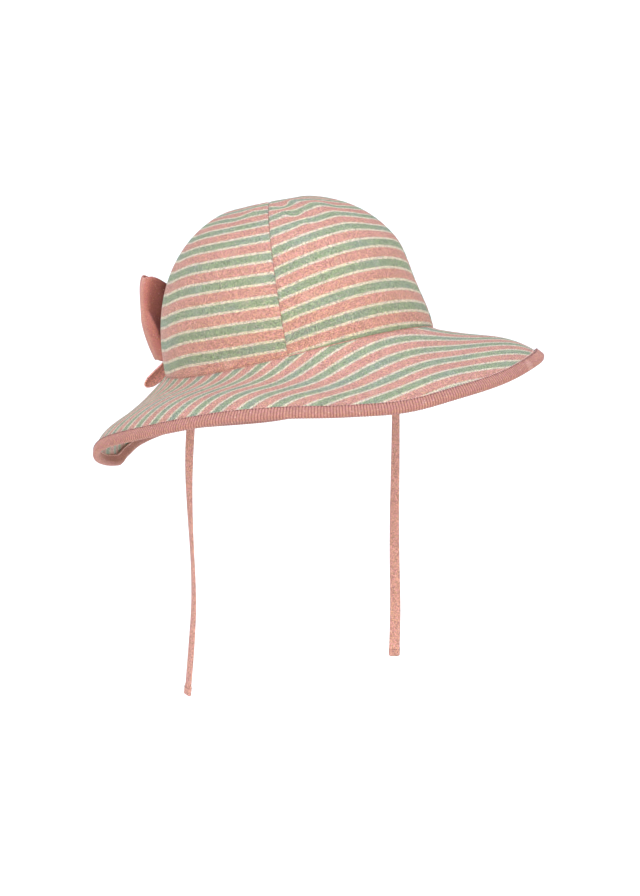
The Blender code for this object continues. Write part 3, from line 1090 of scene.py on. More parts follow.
@dataclass
class Finishes:
    """Every material of the hat, made once."""

    pink: Colour = (0.486, 0.232, 0.184, 1.0)
    trim: Colour = (0.452, 0.208, 0.170, 1.0)
    tie: Colour = (0.535, 0.262, 0.218, 1.0)
    # tail: the ties' pink made much paler, as painted light on the bow's tails, which the lamps leave in
    # shade
    tail: Colour = (0.80, 0.375, 0.335, 1.0)
    # bow: the ties' pink made darker, as painted shade for the bow that sits behind the crown
    bow: Colour = (0.465, 0.165, 0.135, 1.0)
    seam: Colour = (0.33, 0.150, 0.118, 1.0)
    reverse: Colour = (0.54, 0.32, 0.28, 1.0)
    pale: Colour = (0.78, 0.50, 0.44, 1.0)
    # dark: thread for the ties' hems, and painted shade for the stitch holes in the binding's top row
    dark: Colour = (0.20, 0.075, 0.062, 1.0)

    def __post_init__(self) -> None:
        """Build the materials."""
        calm = {"speckle": 0.3, "grain": 0.4, "glint_share": 0.015}
        self.striped = StripedKnit("striped_glitter_knit", self.pink).material()
        self.striped_back = StripedKnit(
            "striped_knit_reverse",
            self.reverse,
            green=(0.33, 0.39, 0.30, 1.0),
            green_shadow=(0.31, 0.37, 0.33, 1.0),
            glint_share=0.03,
            edge_softness=0.5,
        ).material()
        self.plain = Knit("pink_tie_knit", self.tie).material()
        # The bow loops' knit carries painted shade against the crown and by the knot, and a painted highlight
        # on the fold.
        self.gathered = LoopKnitPaintedShadeAndHighlight("pink_bow_loop_knit", self.bow, **calm).material()
        self.tail_knit = Knit("pink_bow_tail_knit", self.tail, grain=0.5).material()
        self.knotted = Knit("pink_bow_knit", self.bow, **calm).material()
        self.ribbed = RibbedKnit("ribbed_pink_binding", self.trim, **calm | {"grain": 0.3}).material()
        self.pale_thread = Thread("pale_pink_thread", self.pale).material()
        self.dark_thread = Thread("rose_brown_thread", self.dark).material()
        self.seam_thread = Thread("seam_thread", self.seam).material()


class StripePull(NamedTuple):
    """A place near the apex where the stripes are pulled: degrees, and millimetres up the cloth."""

    azimuth: float
    arc: float
    amount: float
    spread: float
    height: float


STRIPE_PULLS = (
    StripePull(34, 89, -2.4, 5, 4),
    StripePull(32, 98, 4.8, 7, 5),
    StripePull(26, 84, 3.2, 5, 5),
    StripePull(7, 93, -4.4, 8, 6),
    StripePull(16, 77, 1.4, 6, 5),
    StripePull(25, 76, -1.2, 5, 4),
    StripePull(17, 104, -5.5, 9, 6),
    StripePull(-9, 86, 3.0, 6, 5),
    StripePull(58, 101, -2.5, 8, 6),
    StripePull(74, 96, 2.0, 10, 6),
    StripePull(-120, 98, 3.5, 16, 9),
    StripePull(165, 100, -4.0, 14, 9),
)


class Gore(NamedTuple):
    """How the stripes lie on one gore, in millimetres on its cloth.

    The first green stripe's middle is phase above the foot, and a stripe falls from the
    middle of the gore to its seams by sag at most, at the height sag_middle.
    """

    phase: float
    sag: float
    sag_middle: float


@dataclass
class Crown:
    """Four striped gores from the brim to the apex, and the stitches in their seams."""

    form: HatForm
    finishes: Finishes
    columns: int = 88
    rows: int = 84
    rows_from: float = 0.017
    foot_rows: tuple[float, ...] = (0.0, 0.0025, 0.005, 0.008, 0.012)
    edge_roll: float = 0.0004
    edge_roll_reach: float = 0.0007
    foot_roll: float = 0.0002
    apex_radius: float = 0.006
    front_gore: Gore = Gore(0.2, 6.0, 44.0)
    side_gore: Gore = Gore(9.3, 4.2, 40.0)
    back_gore: Gore = Gore(4.0, 6.0, 44.0)
    sag_reach: float = 62.0
    side_fall: float = 0.027
    side_fall_reach: float = 22.0
    front_crowding: float = 0.26
    front_crowded_above: float = 52.0
    front_crowded_past: float = 20.0
    top_crowding: float = 0.0045
    crowded_above: float = 62.0
    seam_stitch: StitchKind = StitchKind(0.0029, 0.0019, 0.00034, 0.0003, 0.10, 5)
    seam_from: float = 0.012
    seam_to: float = 0.72
    seam_points: int = 90
    seam_sink: float = 0.00035

    def joined(self, points: np.ndarray, middle: float, half_turn: float) -> np.ndarray:
        """Move a gore outwards until it clears its neighbours by the sewn gap.

        Args:
            points: the gore's points, in the hat's frame.
            middle: the azimuth of its middle.
            half_turn: degrees from its middle to its seams.

        Returns:
            The moved points.
        """
        seam, front = (self.form.crown(np.array(middle + turn), np.array(0.0)) for turn in (half_turn, 0.0))
        level = front[:2] / np.hypot(*front[:2])
        half_angle = math.acos(float(level @ seam[:2]) / math.hypot(*seam[:2]))
        points[..., :2] += level * (0.5 * self.form.sewn_gap / math.sin(half_angle))
        return points

    def across(
        self,
        azimuth: np.ndarray,
        arc: np.ndarray,
        turn: np.ndarray,
        middle: float,
        gore: Gore,
    ) -> np.ndarray:
        """The place across the stripes of a gore's cloth.

        Args:
            azimuth: degrees.
            arc: millimetres up the cloth.
            turn: the share of the way from the gore's middle to its seam.
            middle: the azimuth of its middle.
            gore: how its stripes lie.

        Returns:
            Millimetres across the stripes.
        """
        fall = gore.sag * (1.0 - ((arc - gore.sag_middle) / self.sag_reach) ** 2)
        crowding = self.top_crowding * np.maximum(arc - self.crowded_above, 0.0) ** 2
        across = arc + fall * turn**2 + crowding - gore.phase
        if abs(middle) == 90.0:
            behind = np.clip(np.abs(azimuth) - 90.0, 0.0, self.side_fall_reach)
            across = across + self.side_fall * behind**1.5
        if middle == 0.0:
            leftward = np.clip(-azimuth / self.front_crowded_past, 0.0, 1.0)
            high = np.maximum(arc - self.front_crowded_above, 0.0)
            across = across + self.front_crowding * leftward * high
        for pull in STRIPE_PULLS:
            beside = off_azimuth(azimuth, pull.azimuth) / pull.spread
            above = (arc - pull.arc) / pull.height
            across = across + pull.amount * np.exp(-(beside**2) - above**2)
        return across

    def panel(self, name: str, middle: float, gore: Gore) -> None:
        """Build one gore.

        Args:
            name: the CAD node's name.
            middle: the azimuth of its middle.
            gore: how its stripes lie.
        """
        form = self.form
        half_turn = form.seam_azimuth if middle % 180.0 == 0.0 else 90.0 - form.seam_azimuth
        share = np.sin(math.pi * (np.linspace(0.0, 1.0, self.columns + 1) - 0.5))
        height = np.concatenate([self.foot_rows, np.linspace(self.rows_from, 1.0, self.rows)])
        azimuths, heights = np.meshgrid(middle - share * half_turn, height)
        points = self.joined(form.crown(azimuths, heights), middle, half_turn)
        radius = np.hypot(points[..., 0], points[..., 1])
        off_seam = radius * np.radians(half_turn - abs(azimuths - middle))
        arc = run_length(points)
        roll = self.edge_roll * np.exp(-((off_seam / self.edge_roll_reach) ** 2))
        roll = roll * np.clip(radius / self.apex_radius, 0.0, 1.0)
        roll += self.foot_roll * np.exp(-((arc / self.edge_roll_reach) ** 2))
        points[:-1] -= (grid_normals(points) * roll[..., None])[:-1]
        across = self.across(azimuths, arc / MM, (azimuths - middle) / half_turn, middle, gore)
        cloth = cloth_grid(radius * np.radians(middle - azimuths) / MM, across)
        both = (self.finishes.striped, self.finishes.striped_back)
        piece = grid_piece(name + "_cloth", form.worn(points), cloth, *both)
        merge_doubles(piece)
        add_wall(piece, form.crown_wall, inside=1)
        settle(piece, Slot.STRIPED, name)

    def seam(self, sewing: Sewing, number: int) -> None:
        """Sew the stitches that show in one seam.

        Args:
            sewing: what sews them.
            number: the seam's number, from the front round to the wearer's right.
        """
        azimuth = self.form.seam_azimuth + 90.0 * number
        height = np.linspace(self.seam_from, self.seam_to, self.seam_points)
        points = self.form.crown(*np.meshgrid(azimuth + np.array([0.5, 0.0, -0.5]), height))
        lifts = grid_normals(points)[:, 1]
        line = self.form.worn(points[:, 1] - lifts * self.seam_sink)
        name = f"crown_seam_stitches_{number + 1}"
        thread = self.finishes.seam_thread
        sewing.row(name, line, self.form.worn(lifts), self.seam_stitch, thread, Slot.STRIPED)

    def build(self, sewing: Sewing) -> None:
        """Build the four gores and sew their seams.

        Args:
            sewing: what sews them.
        """
        self.panel("crown_front", 0.0, self.front_gore)
        self.panel("crown_right", 90.0, self.side_gore)
        self.panel("crown_back", 180.0, self.back_gore)
        self.panel("crown_left", -90.0, self.side_gore)
        for number in range(4):
            self.seam(sewing, number)


@dataclass
class Brim:
    """The striped brim: one ring of cloth, cut with its stripes straight across the hat."""

    form: HatForm
    finishes: Finishes
    columns: int = 480
    rows: int = 60
    allowance_inset: float = 0.0001
    allowance_height: float = 0.0006
    allowance_wall: float = 0.0003
    flat_radius: float = 79.0
    cut_share: float = 0.95
    first_green: float = 7.0
    front_shift: float = 1.8
    shift_from: float = 18.0
    shift_over: float = 24.0
    shift_azimuth: float = 42.0
    shift_turn: float = 20.0

    def cloth(self, azimuth: np.ndarray, along: np.ndarray) -> np.ndarray:
        """The place on the flat cloth, before it was sewn into a ring.

        Args:
            azimuth: degrees, one for each column.
            along: metres from the crown's foot, one for each row.

        Returns:
            Millimetres, as rows by columns by 2.
        """
        radius = self.flat_radius / self.cut_share + along[:, None] / MM
        turn = np.radians(azimuth)[None] * self.cut_share
        middle = self.flat_radius / self.cut_share + self.first_green
        outer = np.clip((along[:, None] / MM - self.shift_from) / self.shift_over, 0.0, 1.0)
        front = np.clip((self.shift_azimuth - azimuth[None]) / self.shift_turn, 0.0, 1.0)
        shift = self.front_shift * outer * front
        return np.stack([radius * np.sin(turn) * -1.0, radius * np.cos(turn) - middle - shift], -1)

    def allowance(self) -> None:
        """Build the seam allowance: a low ring of cloth that closes the seam from within."""
        foot = self.form.foot(round_azimuths(self.columns)[:-1], self.allowance_inset)
        falls = np.linspace(self.allowance_height, 0.00005, 4)
        points = foot[None] - falls[:, None, None] * np.array([0.0, 0.0, 1.0])
        run = np.linspace(0.0, 2.0 * math.pi, self.columns + 1) * self.flat_radius
        cloth = cloth_grid(run[None], -falls[:, None] / MM)
        worn = self.form.worn(points)
        piece = grid_piece("brim_seam_allowance", worn, cloth, self.finishes.plain, closed=True)
        add_wall(piece, self.allowance_wall)
        settle(piece, Slot.STRIPED)

    def build(self) -> None:
        """Build the brim's cloth and its seam allowance."""
        form = self.form
        azimuth = round_azimuths(self.columns)
        along = np.linspace(form.sheet_width, 0.0, self.rows + 1)
        points = form.brim(azimuth[:-1], along, np.full(self.rows + 1, 0.5 * form.brim_wall))
        both = (self.finishes.striped, self.finishes.striped_back)
        piece = grid_piece("brim_cloth", form.worn(points), self.cloth(azimuth, along), *both, closed=True)
        add_wall(piece, form.brim_wall, inside=1)
        settle(piece, Slot.STRIPED, "brim")
        self.allowance()


class StripStation(NamedTuple):
    """One row of the binding near its free edge, as shares of its width and of its wall.

    Inward is the place from the brim's edge, sunk is how far it lies below the flat of the
    strip, and free is how much of a rib's height it takes.
    """

    inward: float
    sunk: float
    free: float


STRIP_STATIONS = (
    StripStation(1.0, 0.45, 0.0),
    StripStation(0.985, 0.12, 0.2),
    StripStation(0.93, 0.0, 0.8),
    StripStation(0.65, -0.04, 1.0),
    StripStation(0.35, -0.04, 1.0),
)


@dataclass
class Binding:
    """The ribbed pink strip that is folded round the brim's edge, and its stitches."""

    form: HatForm
    finishes: Finishes
    columns: int = 2880
    rib_height: float = 0.00032
    cloth_share: float = 0.8
    arc_steps: int = 5
    ring_count: int = 460
    edge_stitch: StitchKind = StitchKind(0.0021, 0.0013, 0.0006, 0.0007, 0.5, 7)
    cover_stitch: StitchKind = StitchKind(0.0021, 0.0009, 0.0007, 0.0005, 0.0, 8)
    top_stitch_inset: float = 0.0007
    top_stitch_lift: float = 0.0001
    cover_stitch_inset: float = -0.0007
    lower_stitch_inset: float = 0.0009

    def section(self) -> np.ndarray:
        """The strip's section, from the free edge below to that on top.

        Returns:
            Along, lift and freedom to rib for each row.
        """
        form = self.form
        sheet, width, wall = form.sheet_width, form.binding_width, form.binding_wall
        standoff = 0.5 * form.brim_wall + form.sewn_gap + wall
        upper = [(sheet - at.inward * width, standoff - at.sunk * wall, at.free) for at in STRIP_STATIONS]
        turns = [math.pi * (0.5 - step / self.arc_steps) for step in range(self.arc_steps + 1)]
        arc = [(sheet + standoff * math.cos(turn), standoff * math.sin(turn), 1.0) for turn in turns]
        lower = [(along, -lift, free) for along, lift, free in reversed(upper)]
        return np.array(list(reversed(upper + arc + lower)))

    def build(self, sewing: Sewing) -> None:
        """Build the strip, rib it and sew it down.

        Args:
            sewing: what sews it.
        """
        form = self.form
        section = self.section()
        points = form.brim(round_azimuths(self.columns)[:-1], section[:, 0], section[:, 1])
        edge = points[len(section) // 2]
        run = run_length(np.vstack([edge, edge[:1]])) / MM
        run *= round(run[-1] / RIB_PITCH) * RIB_PITCH / run[-1]
        cloth = cloth_grid(run[None], run_length(section[:, :2])[:, None] / MM)
        piece = grid_piece("brim_binding_cloth", form.worn(points), cloth, closed=True)
        rows = {
            "along": cloth[:, :-1, 0],
            "across": cloth[:, :-1, 1],
            "free": np.broadcast_to(section[:, 2:], cloth[:, :-1, 0].shape),
        }
        for name, values in rows.items():
            attribute = piece.data.attributes.new(name, "FLOAT", "POINT")
            attribute.data.foreach_set("value", np.ascontiguousarray(values, np.float32).ravel())
        sizes = {"Pitch": RIB_PITCH, "Height": self.rib_height, "Slant": RIB_SLANT}
        ribbed = RibTree().use_on(piece, sizes | {"Cloth": self.finishes.ribbed})
        add_wall(ribbed, self.cloth_share * form.binding_wall)
        settle(ribbed, Slot.PINK, "brim_binding")
        self.sew(sewing)

    def ring(self, along: float, lift: float) -> tuple[np.ndarray, np.ndarray]:
        """A line round the brim, for a row of stitches.

        Args:
            along: its distance along the cloth from the crown's foot.
            lift: its distance off the middle of the cloth, below zero for the underside.

        Returns:
            Its points and its directions off the cloth, in the part's frame.
        """
        azimuth = round_azimuths(self.ring_count)[:-1]
        rows = self.form.brim(azimuth, np.array([along, along]), np.array([lift, lift + MM]))
        lifts = unit(rows[1] - rows[0]) * math.copysign(1.0, lift)
        return self.form.worn(rows[0]), self.form.worn(lifts)

    def sew(self, sewing: Sewing) -> None:
        """Sew the strip down along its free edges, on top and below.

        Args:
            sewing: what sews it.
        """
        form, pale, dark = self.form, self.finishes.pale_thread, self.finishes.dark_thread
        free_edge = form.sheet_width - form.binding_width
        on_sheet = 0.5 * form.brim_wall
        on_strip = on_sheet + form.sewn_gap + form.binding_wall
        # The top row's dark stitches stand in for the shaded stitch holes along the binding's edge: painted
        # shade.
        line = self.ring(free_edge + self.top_stitch_inset, on_strip + self.top_stitch_lift)
        sewing.row("binding_stitches_top", *line, self.edge_stitch, dark, closed=True)
        line = self.ring(free_edge + self.cover_stitch_inset, on_sheet + self.top_stitch_lift)
        sewing.row("binding_cover_stitches", *line, self.cover_stitch, pale, closed=True)
        line = self.ring(free_edge + self.lower_stitch_inset, -on_strip)
        sewing.row("binding_stitches_below", *line, self.edge_stitch, pale, closed=True)


class LoopStation(NamedTuple):
    """One half of a bow loop's run, as shares of its reach, half depth and half height."""

    out: float
    depth: float
    height: float


class TailStation(NamedTuple):
    """A bow tail's middle line as shares of its length, and its width as a share."""

    out: float
    off: float
    down: float
    width: float


LOOP_STATIONS = (
    LoopStation(0.00, 0.30, 0.30),
    LoopStation(0.22, 0.62, 0.46),
    LoopStation(0.48, 0.96, 0.76),
    LoopStation(0.74, 1.00, 0.96),
    LoopStation(0.93, 0.66, 1.00),
    LoopStation(1.00, 0.00, 0.97),
)
TAIL_STATIONS = (
    TailStation(0.00, 0.00, 0.00, 0.70),
    TailStation(0.13, 0.03, 0.17, 0.85),
    TailStation(0.28, 0.08, 0.35, 1.00),
    TailStation(0.44, 0.17, 0.53, 1.00),
    TailStation(0.59, 0.27, 0.68, 0.94),
    TailStation(0.69, 0.33, 0.77, 0.62),
)


@dataclass
class Bow:
    """The plain pink bow on the back of the crown: two loops, a knot and two tails."""

    form: HatForm
    finishes: Finishes
    height: float = 0.0285
    wall: float = 0.0012
    knot_width: float = 0.0130
    knot_height: float = 0.0165
    knot_depth: float = 0.0110
    knot_squareness: float = 0.28
    loop_reach: float = 0.0450
    loop_height: float = 0.0520
    loop_depth: float = 0.0125
    loop_rows: int = 33
    corner_draw: float = 0.24
    top_draw: float = 0.07
    top_slope: float = 0.42
    gather_depth: float = 0.0011
    gather_count: float = 3.5
    ripple_depth: float = 0.0005
    roll_height: float = 0.0042
    roll_edge: float = 0.85
    roll_lean: float = 0.09
    roll_softness: float = 0.012
    hollow_depth: float = 0.0044
    hollow_from_roll: float = 0.17
    hollow_reach: float = 0.15
    tail_width: float = 0.0105
    tail_length: float = 0.0440
    tail_spread: float = 0.0046
    tail_rows: int = 15
    tail_rounding: float = 0.0042
    tail_twist: float = -14.0
    tail_cup: float = 0.0017

    def __post_init__(self) -> None:
        """Work out the bow's seat on the crown."""
        fullness = self.form.crown_fullness
        up = self.height / self.form.crown_height
        across = (1.0 - up**fullness) ** (1.0 / fullness)
        share = math.degrees(math.atan2(up, across)) / 90.0
        azimuth = np.full(3, 180.0)
        low, here, high = self.form.crown(azimuth, np.array([share - 0.02, share, share + 0.02]))
        climb = high - low
        self.lean = np.array(Matrix.Rotation(math.atan2(-climb[1], climb[2]), 3, "X"))
        self.here = here
        self.middle = self.form.sewn_gap + 0.5 * self.knot_depth

    def placed(self, points: np.ndarray) -> np.ndarray:
        """Points of the bow's own frame, with +Y off the crown, in the part's frame."""
        return self.form.worn(points @ self.lean.T + self.here)

    def add(self, name: str, points: np.ndarray, cloth: np.ndarray, finish: bpy.types.Material) -> None:
        """Make one soft piece of the bow.

        Args:
            name: the CAD node's name.
            points: the middle of its cloth, in the bow's own frame.
            cloth: the places on the cloth.
            finish: its material.
        """
        piece = grid_piece(name + "_cloth", self.placed(points), cloth, finish)
        add_wall(piece, self.wall, 0.0)
        soften = piece.modifiers.new("soft_edges", "SUBSURF")
        soften.levels = soften.render_levels = 1
        settle(piece, Slot.PINK, name)

    def loop(self, side: Side) -> None:
        """Build one loop: a band folded back on itself, gathered at the knot.

        Args:
            side: the wearer's side.
        """
        sign = -float(side.value)
        start = 0.5 * self.knot_width + self.form.sewn_gap
        out_run = smooth_line(LOOP_STATIONS, 9)
        run = np.vstack([out_run * (1.0, -1.0, 1.0), out_run[::-1][1:]])
        tall = np.linspace(-1.0, 1.0, self.loop_rows)[:, None]
        above, below = np.maximum(0.0, tall), np.maximum(0.0, -tall)
        out_share, depth_share, height_share = run.T[:, None, :]
        draw = 1.0 - self.corner_draw * below**1.5 - self.top_draw * above**7
        out = start + (self.loop_reach - start - 0.5 * self.wall) * out_share * draw
        gather = self.gather_depth * (1.0 - out_share) ** 2 * np.cos(self.gather_count * math.pi * tall)
        near_knot = np.minimum(1.0, 3.0 * (1.0 - out_share))
        ripple = self.ripple_depth * np.sin(5.0 * out_share + 3.0 * tall) * near_knot
        off = self.middle + 0.5 * (self.loop_depth - self.wall) * depth_share
        off = off + (gather + ripple) * np.sign(depth_share)
        off = off + self.fold(out_share, tall) * np.clip(-2.2 * depth_share, 0.0, 1.0)
        falling = 1.0 - self.top_slope * np.clip(0.9 - out_share, 0.0, 0.5) * (tall > 0.0)
        up = 0.5 * self.loop_height * height_share * tall * falling
        points = np.stack([sign * out, off, up], -1)
        length = run_length(run * (self.loop_reach, self.loop_depth, 0.0)) / MM
        cloth = cloth_grid(length[None], tall * 0.5 * self.loop_height / MM)
        if sign < 0:
            points, cloth = points[:, ::-1], cloth[:, ::-1]
        self.add(f"bow_loop_{side.name.lower()}", points, cloth, self.finishes.gathered)

    def fold(self, out_share: np.ndarray, tall: np.ndarray) -> np.ndarray:
        """The fold that rolls outwards on a loop's crown side, and the hollow behind it.

        Args:
            out_share: the share of the loop's reach.
            tall: the place up the loop, from -1 to 1.

        Returns:
            How far the cloth lies off the loop's plain form.
        """
        edge = self.roll_edge + self.roll_lean * np.clip((tall + 0.3) / 0.5, 0.0, 1.0) ** 1.5
        low = 1.0 / (1.0 + np.exp((tall - 0.12) / 0.07))
        beyond = np.clip((out_share - edge) / (1.0 - edge), 0.0, 1.0)
        rolled = low * (1.0 - beyond**2) / (1.0 + np.exp((edge - out_share) / self.roll_softness))
        hollow = np.exp(-(((out_share - edge + self.hollow_from_roll) / self.hollow_reach) ** 2))
        hollow = hollow * (1.0 - 0.6 * np.maximum(tall, 0.0))
        return self.hollow_depth * hollow - self.roll_height * rolled

    def knot(self) -> None:
        """Build the band round the middle of the bow, with folds along it."""
        around, over = np.meshgrid(np.linspace(0.0, 2.0 * math.pi, 97), np.linspace(-1.0, 1.0, 41))
        depth = 0.5 * self.knot_depth * rounded(np.cos(around), self.knot_squareness)
        tall = 0.5 * self.knot_height * rounded(np.sin(around), self.knot_squareness)
        edge = np.sqrt(np.maximum(1.0 - np.abs(over) ** 6, 0.0))
        fold = 1.0 - 0.05 * (1.0 - edge * np.cos(2.6 * math.pi * over + 0.4 * np.sin(around)))
        shrink = np.where(np.abs(over) > 0.999, 0.72, 0.80 + 0.20 * edge) * fold
        points = np.stack([0.5 * self.knot_width * over, self.middle + depth * shrink, tall * shrink], -1)
        cloth = cloth_grid(around * 0.5 * self.knot_height / MM, over * 0.5 * self.knot_width / MM)
        worn = self.placed(points[::-1, :-1])
        piece = grid_piece("bow_knot_cloth", worn, cloth[::-1], self.finishes.knotted, closed=True)
        close_ends(piece)
        settle(piece, Slot.PINK, "bow_knot")

    def tail(self, side: Side) -> None:
        """Build one short tail with a round end, cupped a little along its length.

        Args:
            side: the wearer's side.
        """
        below = 0.5 * self.knot_height + self.form.sewn_gap + 0.5 * self.wall
        start = np.array([self.tail_spread, self.middle, -below])
        stations = np.array(TAIL_STATIONS)
        route = start + stations[:, :3] * (self.tail_length, self.tail_length, -self.tail_length)
        last = len(route) - 1
        runs = np.array([route[min(i + 1, last)] - route[max(i - 1, 0)] for i in range(last + 1)])
        breadths = unit(np.cross(runs, (0.0, 1.0, 0.0))) * (0.5 * self.tail_width * stations[:, 3:])
        route, breadths = smooth_line(route, 7), smooth_line(breadths, 7)
        lifts = unit(np.cross(breadths, np.gradient(route, axis=0)))
        lifts *= np.sign(lifts[:, 1:2])
        twist = math.radians(self.tail_twist) * np.linspace(0.0, 1.0, len(route))[:, None] ** 0.7
        width = np.linalg.norm(breadths, axis=1, keepdims=True)
        breadths, lifts = (
            breadths * np.cos(twist) + lifts * width * np.sin(twist),
            lifts * np.cos(twist) - unit(breadths) * np.sin(twist),
        )
        share = np.linspace(-1.0, 1.0, self.tail_rows)
        near_end = np.clip(1.0 - run_length(route[::-1])[::-1] / self.tail_rounding, 0.0, 1.0)
        breadths = breadths * np.sqrt(np.maximum(1.0 - near_end**2, 0.01))[:, None]
        cup = self.tail_cup * (share**2 - 0.4)
        points = route[:, None] + breadths[:, None] * share[None, :, None]
        points = (points - lifts[:, None] * cup[None, :, None]) * (-float(side.value), 1.0, 1.0)
        cloth = cloth_grid(run_length(route)[:, None] / MM, share[None] * 0.5 * self.tail_width / MM)
        self.add(f"bow_tail_{side.name.lower()}", points, cloth, self.finishes.tail_knit)

    def build(self) -> None:
        """Build the whole bow."""
        self.knot()
        for side in Side:
            self.loop(side)
            self.tail(side)


class TieStation(NamedTuple):
    """A point of a tie's route in metres from its root, and its breadth's turn in degrees."""

    x: float
    y: float
    z: float
    turn: float


TIE_ROUTES = {
    Side.RIGHT: (
        TieStation(0.0000, 0.0000, 0.0000, 0),
        TieStation(0.0000, 0.0000, -0.0080, 0),
        TieStation(0.0002, 0.0001, -0.0200, 4),
        TieStation(-0.0005, 0.0004, -0.0330, 9),
        TieStation(-0.0012, 0.0010, -0.0480, 8),
        TieStation(-0.0016, 0.0012, -0.0640, 0),
        TieStation(-0.0014, 0.0011, -0.0800, -9),
        TieStation(-0.0010, 0.0008, -0.0950, -16),
        TieStation(-0.0005, 0.0004, -0.1100, -20),
        TieStation(-0.0001, 0.0001, -0.1260, -18),
        TieStation(-0.0002, 0.0001, -0.1420, -14),
        TieStation(-0.0008, 0.0006, -0.1560, -10),
        TieStation(-0.0016, 0.0012, -0.1690, -8),
        TieStation(-0.0023, 0.0018, -0.1800, -8),
        TieStation(-0.0030, 0.0024, -0.1900, -8),
        TieStation(-0.0035, 0.0028, -0.1960, -8),
    ),
    Side.LEFT: (
        TieStation(0.0000, 0.0000, 0.0000, 0),
        TieStation(0.0000, 0.0000, -0.0080, 0),
        TieStation(0.0008, -0.0016, -0.0200, 0),
        TieStation(0.0022, -0.0042, -0.0330, 0),
        TieStation(0.0030, -0.0052, -0.0480, 3),
        TieStation(0.0030, -0.0054, -0.0640, 6),
        TieStation(0.0029, -0.0054, -0.0800, 10),
        TieStation(0.0028, -0.0053, -0.0960, 14),
        TieStation(0.0027, -0.0052, -0.1120, 18),
        TieStation(0.0028, -0.0052, -0.1280, 23),
        TieStation(0.0030, -0.0053, -0.1440, 28),
        TieStation(0.0033, -0.0055, -0.1590, 34),
        TieStation(0.0035, -0.0056, -0.1730, 40),
        TieStation(0.0034, -0.0056, -0.1850, 46),
        TieStation(0.0032, -0.0055, -0.1960, 50),
        TieStation(0.0031, -0.0054, -0.2040, 51),
    ),
}


@dataclass
class Tie:
    """A narrow flat tie that hangs from the crown's foot, with a folded and stitched end."""

    form: HatForm
    finishes: Finishes
    side: Side
    width: float = 0.0065
    wall: float = 0.0013
    azimuth: float = 95.0
    root_height: float = 0.0040
    hem: float = 0.0060
    hem_step: float = 0.0002
    hem_line: float = 0.0009
    end_rounding: float = 0.0008
    around: int = 28
    hem_stitch: StitchKind = StitchKind(0.0011, 0.0009, 0.00045, 0.0004, 0.4, 9)

    def root(self) -> np.ndarray:
        """Where the tie starts, against the inside of the crown just above its foot.

        Returns:
            A point in the part's frame.
        """
        inset = self.form.crown_wall + 2.0 * self.form.sewn_gap + 0.5 * self.wall
        foot = self.form.foot(np.array(self.side.value * self.azimuth), inset)
        return self.form.worn(foot + (0.0, 0.0, self.root_height))

    def build(self, sewing: Sewing) -> None:
        """Args:
            sewing: what sews it.
        """
        stations = smooth_line(TIE_ROUTES[self.side], 8)
        path = self.root() + stations[:, :3]
        angle = np.radians(stations[:, 3])
        breadth = np.stack([np.sin(angle), -np.cos(angle), 0.0 * angle], -1)
        face = unit(np.cross(breadth, np.gradient(path, axis=0)))
        length = run_length(path)
        left = length[-1] - length
        doubled = 1.0 / (1.0 + np.exp((left - self.hem) / self.hem_step))
        squared = (1.0 - np.clip(left / self.end_rounding, 0.0, 1.0)) ** 2
        soft_end = np.sqrt(np.clip(1.0 - squared, 0.04, 1.0))
        half_width = 0.5 * self.width * (1.0 + 0.05 * doubled) * (0.7 + 0.3 * soft_end)
        half_wall = 0.5 * self.wall * (1.0 + 0.9 * doubled) * soft_end
        turn = 2.0 * math.pi * np.arange(self.around + 1) / self.around
        wide, thick = rounded(np.cos(turn), 0.55), rounded(np.sin(turn), 0.9)
        points = (
            path[:, None]
            + breadth[:, None] * (half_width[:, None] * wide[None])[..., None]
            + face[:, None] * (half_wall[:, None] * thick[None])[..., None]
        )
        round_it = np.cumsum(np.abs(np.diff(wide, prepend=wide[0]))) * 0.5 * self.width / MM
        cloth = cloth_grid(length[:, None] / MM, round_it[None])
        name = f"tie_{self.side.name.lower()}"
        piece = grid_piece(name + "_cloth", points[:, :-1], cloth, self.finishes.plain, closed=True)
        close_ends(piece)
        settle(piece, Slot.PINK, name)
        at = int(np.argmin(np.abs(left - self.hem + self.hem_line)))
        self.sew(sewing, path[at], breadth[at], face[at])

    def sew(
        self,
        sewing: Sewing,
        at: np.ndarray,
        breadth: np.ndarray,
        face: np.ndarray,
    ) -> list[bpy.types.Object]:
        """Sew the end down on both faces.

        Args:
            sewing: what sews it.
            at: the point of the tie's middle line that the stitches cross.
            breadth: the direction across the tie there.
            face: the direction off its face there.

        Returns:
            The rows of stitches.
        """
        across = np.linspace(-0.42, 0.42, 9)
        rows = []
        for label, sign in (("front", 1.0), ("back", -1.0)):
            line = at + breadth * (across * self.width)[:, None] + face * sign * 0.95 * self.wall
            lifts = np.repeat(face[None] * sign, len(across), axis=0)
            name = f"tie_{self.side.name.lower()}_hem_stitches_{label}"
            rows.append(sewing.row(name, line, lifts, self.hem_stitch, self.finishes.dark_thread))
        return rows


